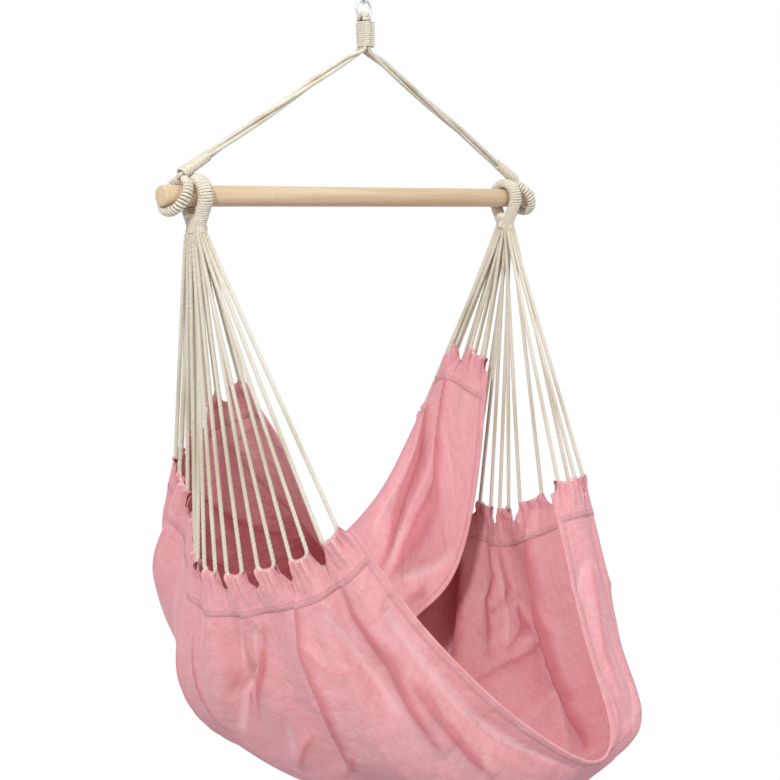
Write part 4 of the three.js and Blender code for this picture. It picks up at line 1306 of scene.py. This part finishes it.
def hem(label, edge):
    """A turned-over edge along the front or the back of the cloth."""
    mesh = grid_mesh(*HEM_GRID)
    places = coordinates(mesh)
    start = HEM_INSET / CLOTH_ACROSS
    u = start + (1 - 2 * start) * (places[:, 0] + 1) / 2
    angle, leg = turned_over(places[:, 1], HEM_ROLL_SHARE)
    inward = leg * HEM_DEPTH
    v = np.abs(edge - inward / np.linalg.norm(skin_slope(u, np.full_like(u, edge), 1), axis=-1))
    closed = (CLOTH + BAND_CLOTH) / 2 + HEM_GAP
    swell = closed + (HEM_ROLL - closed) * (1 - smooth_ramp(inward, 0, HEM_DEPTH / 2))
    lift = swell * np.sin(angle)
    outward = unit(seat_place(u, edge) - seat_place(u, abs(edge - SHARE_STEP)))
    beyond = np.where(leg > 0, 0, HEM_ROLL * np.cos(angle))
    place_vertices(mesh, seat_place(u, v) + skin_normal(u, v) * lift[:, None] + outward * beyond[:, None])
    lay_map(mesh, u * CLOTH_ACROSS, inward)
    keep_painted_shading(mesh, np.zeros(len(u)))
    return band(f"hem_{label}", mesh, CLOTH_HEM)


# Seat cords

def slots_for(runs):
    """Lines keep apart all the way down when no two of them would gain by trading slots."""
    order = [
        Vector(((column - (SLOT_COLUMNS - 1) / 2) * SLOT_PITCH_X, (row - (SLOT_ROWS - 1) / 2) * SLOT_PITCH_Y))
        for row in range(SLOT_ROWS) for column in range(SLOT_COLUMNS)
    ]
    traded = True
    while traded:
        traded = False
        for i in range(len(order)):
            for j in range(i + 1, len(order)):
                if (order[i] - order[j]).dot(runs[j] - runs[i]) > TRADE_GAIN:
                    order[i], order[j] = order[j], order[i]
                    traded = True
    return order


def seat_cords(label, side):
    face = Vector(eye_centre(side)) - Vector((0, 0, NECK_FOOT + CLEARANCE))
    tabs = [[Vector(place) for place in tab_feet(side, tab)] for tab in range(TABS)]
    ends = [foot for front, _, back in tabs for foot in (front, back)]
    runs = [Vector((foot.x - face.x, foot.y)) / (face.z - foot.z) for foot in ends]
    order = slots_for(runs)

    def down(slot, foot):
        way = (foot - face - slot.to_3d()).normalized()
        bunched = [face + Vector((slot.x * across, slot.y * deep, CORD_SPREAD_RUN * rise))
                   for across, deep, rise in CORD_SPREAD_SHARES]
        return [*bunched, foot - way * 2 * CORD_CORNER, foot - way * CORD_CORNER]

    for tab, (front, middle, back) in enumerate(tabs):
        points = [
            *down(order[2 * tab], front), front.lerp(middle, 0.33), middle, back.lerp(middle, 0.33),
            *reversed(down(order[2 * tab + 1], back)),
        ]
        cord = rope_mesh(points, SEAT_CORD * CORD_FULLNESS, 4)
        name = f"cord_{label}_{tab + 1}"
        rope_piece(name, [cord], "cotton_cord", "seat", f"seat_{name}")


# Camera, lamps and the white surroundings

def aimed(name, data, place, way):
    piece = bpy.data.objects.new(name, data)
    bpy.context.scene.collection.objects.link(piece)
    turn = way.to_track_quat("-Z", "Y").to_matrix().to_4x4()
    piece.matrix_world = Matrix.Translation(place) @ turn
    return piece


def camera():
    lens = bpy.data.cameras.new("camera")
    lens.sensor_width = SENSOR_WIDTH
    lens.lens = CAMERA_LENS
    lens.clip_start = CAMERA_NEAR
    level = math.cos(CAMERA_PITCH)
    way = Vector((math.sin(CAMERA_YAW) * level, math.cos(CAMERA_YAW) * level, -math.sin(CAMERA_PITCH)))
    bpy.context.scene.camera = aimed("camera", lens, CAMERA_PLACE, way)


def lamp(name, place, size, energy):
    light = bpy.data.lights.new(name, "AREA")
    light.size = size
    light.energy = energy
    aimed(name, light, place, Vector((0, 0, -SEAT_DROP)) - Vector(place))


def surroundings():
    world = bpy.data.worlds.new("surroundings")
    bpy.context.scene.world = world
    shader = Shader(world)
    seen = [shader.node("ShaderNodeLightPath", output=key)
            for key in ("Is Camera Ray", "Is Glossy Ray", "Is Transmission Ray")]
    direct = seen[0].math("MAXIMUM", seen[1]).math("MAXIMUM", seen[2])
    ambient, white = (
        shader.node("ShaderNodeBackground", None, {"Color": (1, 1, 1, 1), "Strength": strength})
        for strength in (AMBIENT, 1)
    )
    mixed = shader.node("ShaderNodeMixShader", None, {0: direct, 1: ambient, 2: white})
    shader.node("ShaderNodeOutputWorld", None, {"Surface": mixed})


camera()
for lamp_name, (lamp_place, lamp_size, watts) in LAMPS.items():
    lamp(lamp_name, lamp_place, lamp_size, watts)
surroundings()

swivel()
ring()
bar()
top_eye()
for side_name, side_sign in SIDES.items():
    sling(side_name, side_sign)
    legs(side_name, side_sign)
    seat_eye(side_name, side_sign)
    neck(side_name, side_sign)
    tail(side_name, side_sign)
    seat_cords(side_name, side_sign)
seat_cloth = cloth_body()
bands = [casing("left", LEFT), casing("right", RIGHT), hem("front", 0.0), hem("back", 1.0)]

for helper in (three_strands, round_section, wire_section):
    bpy.data.objects.remove(helper)

bpy.context.scene.view_settings.view_transform = "Standard"
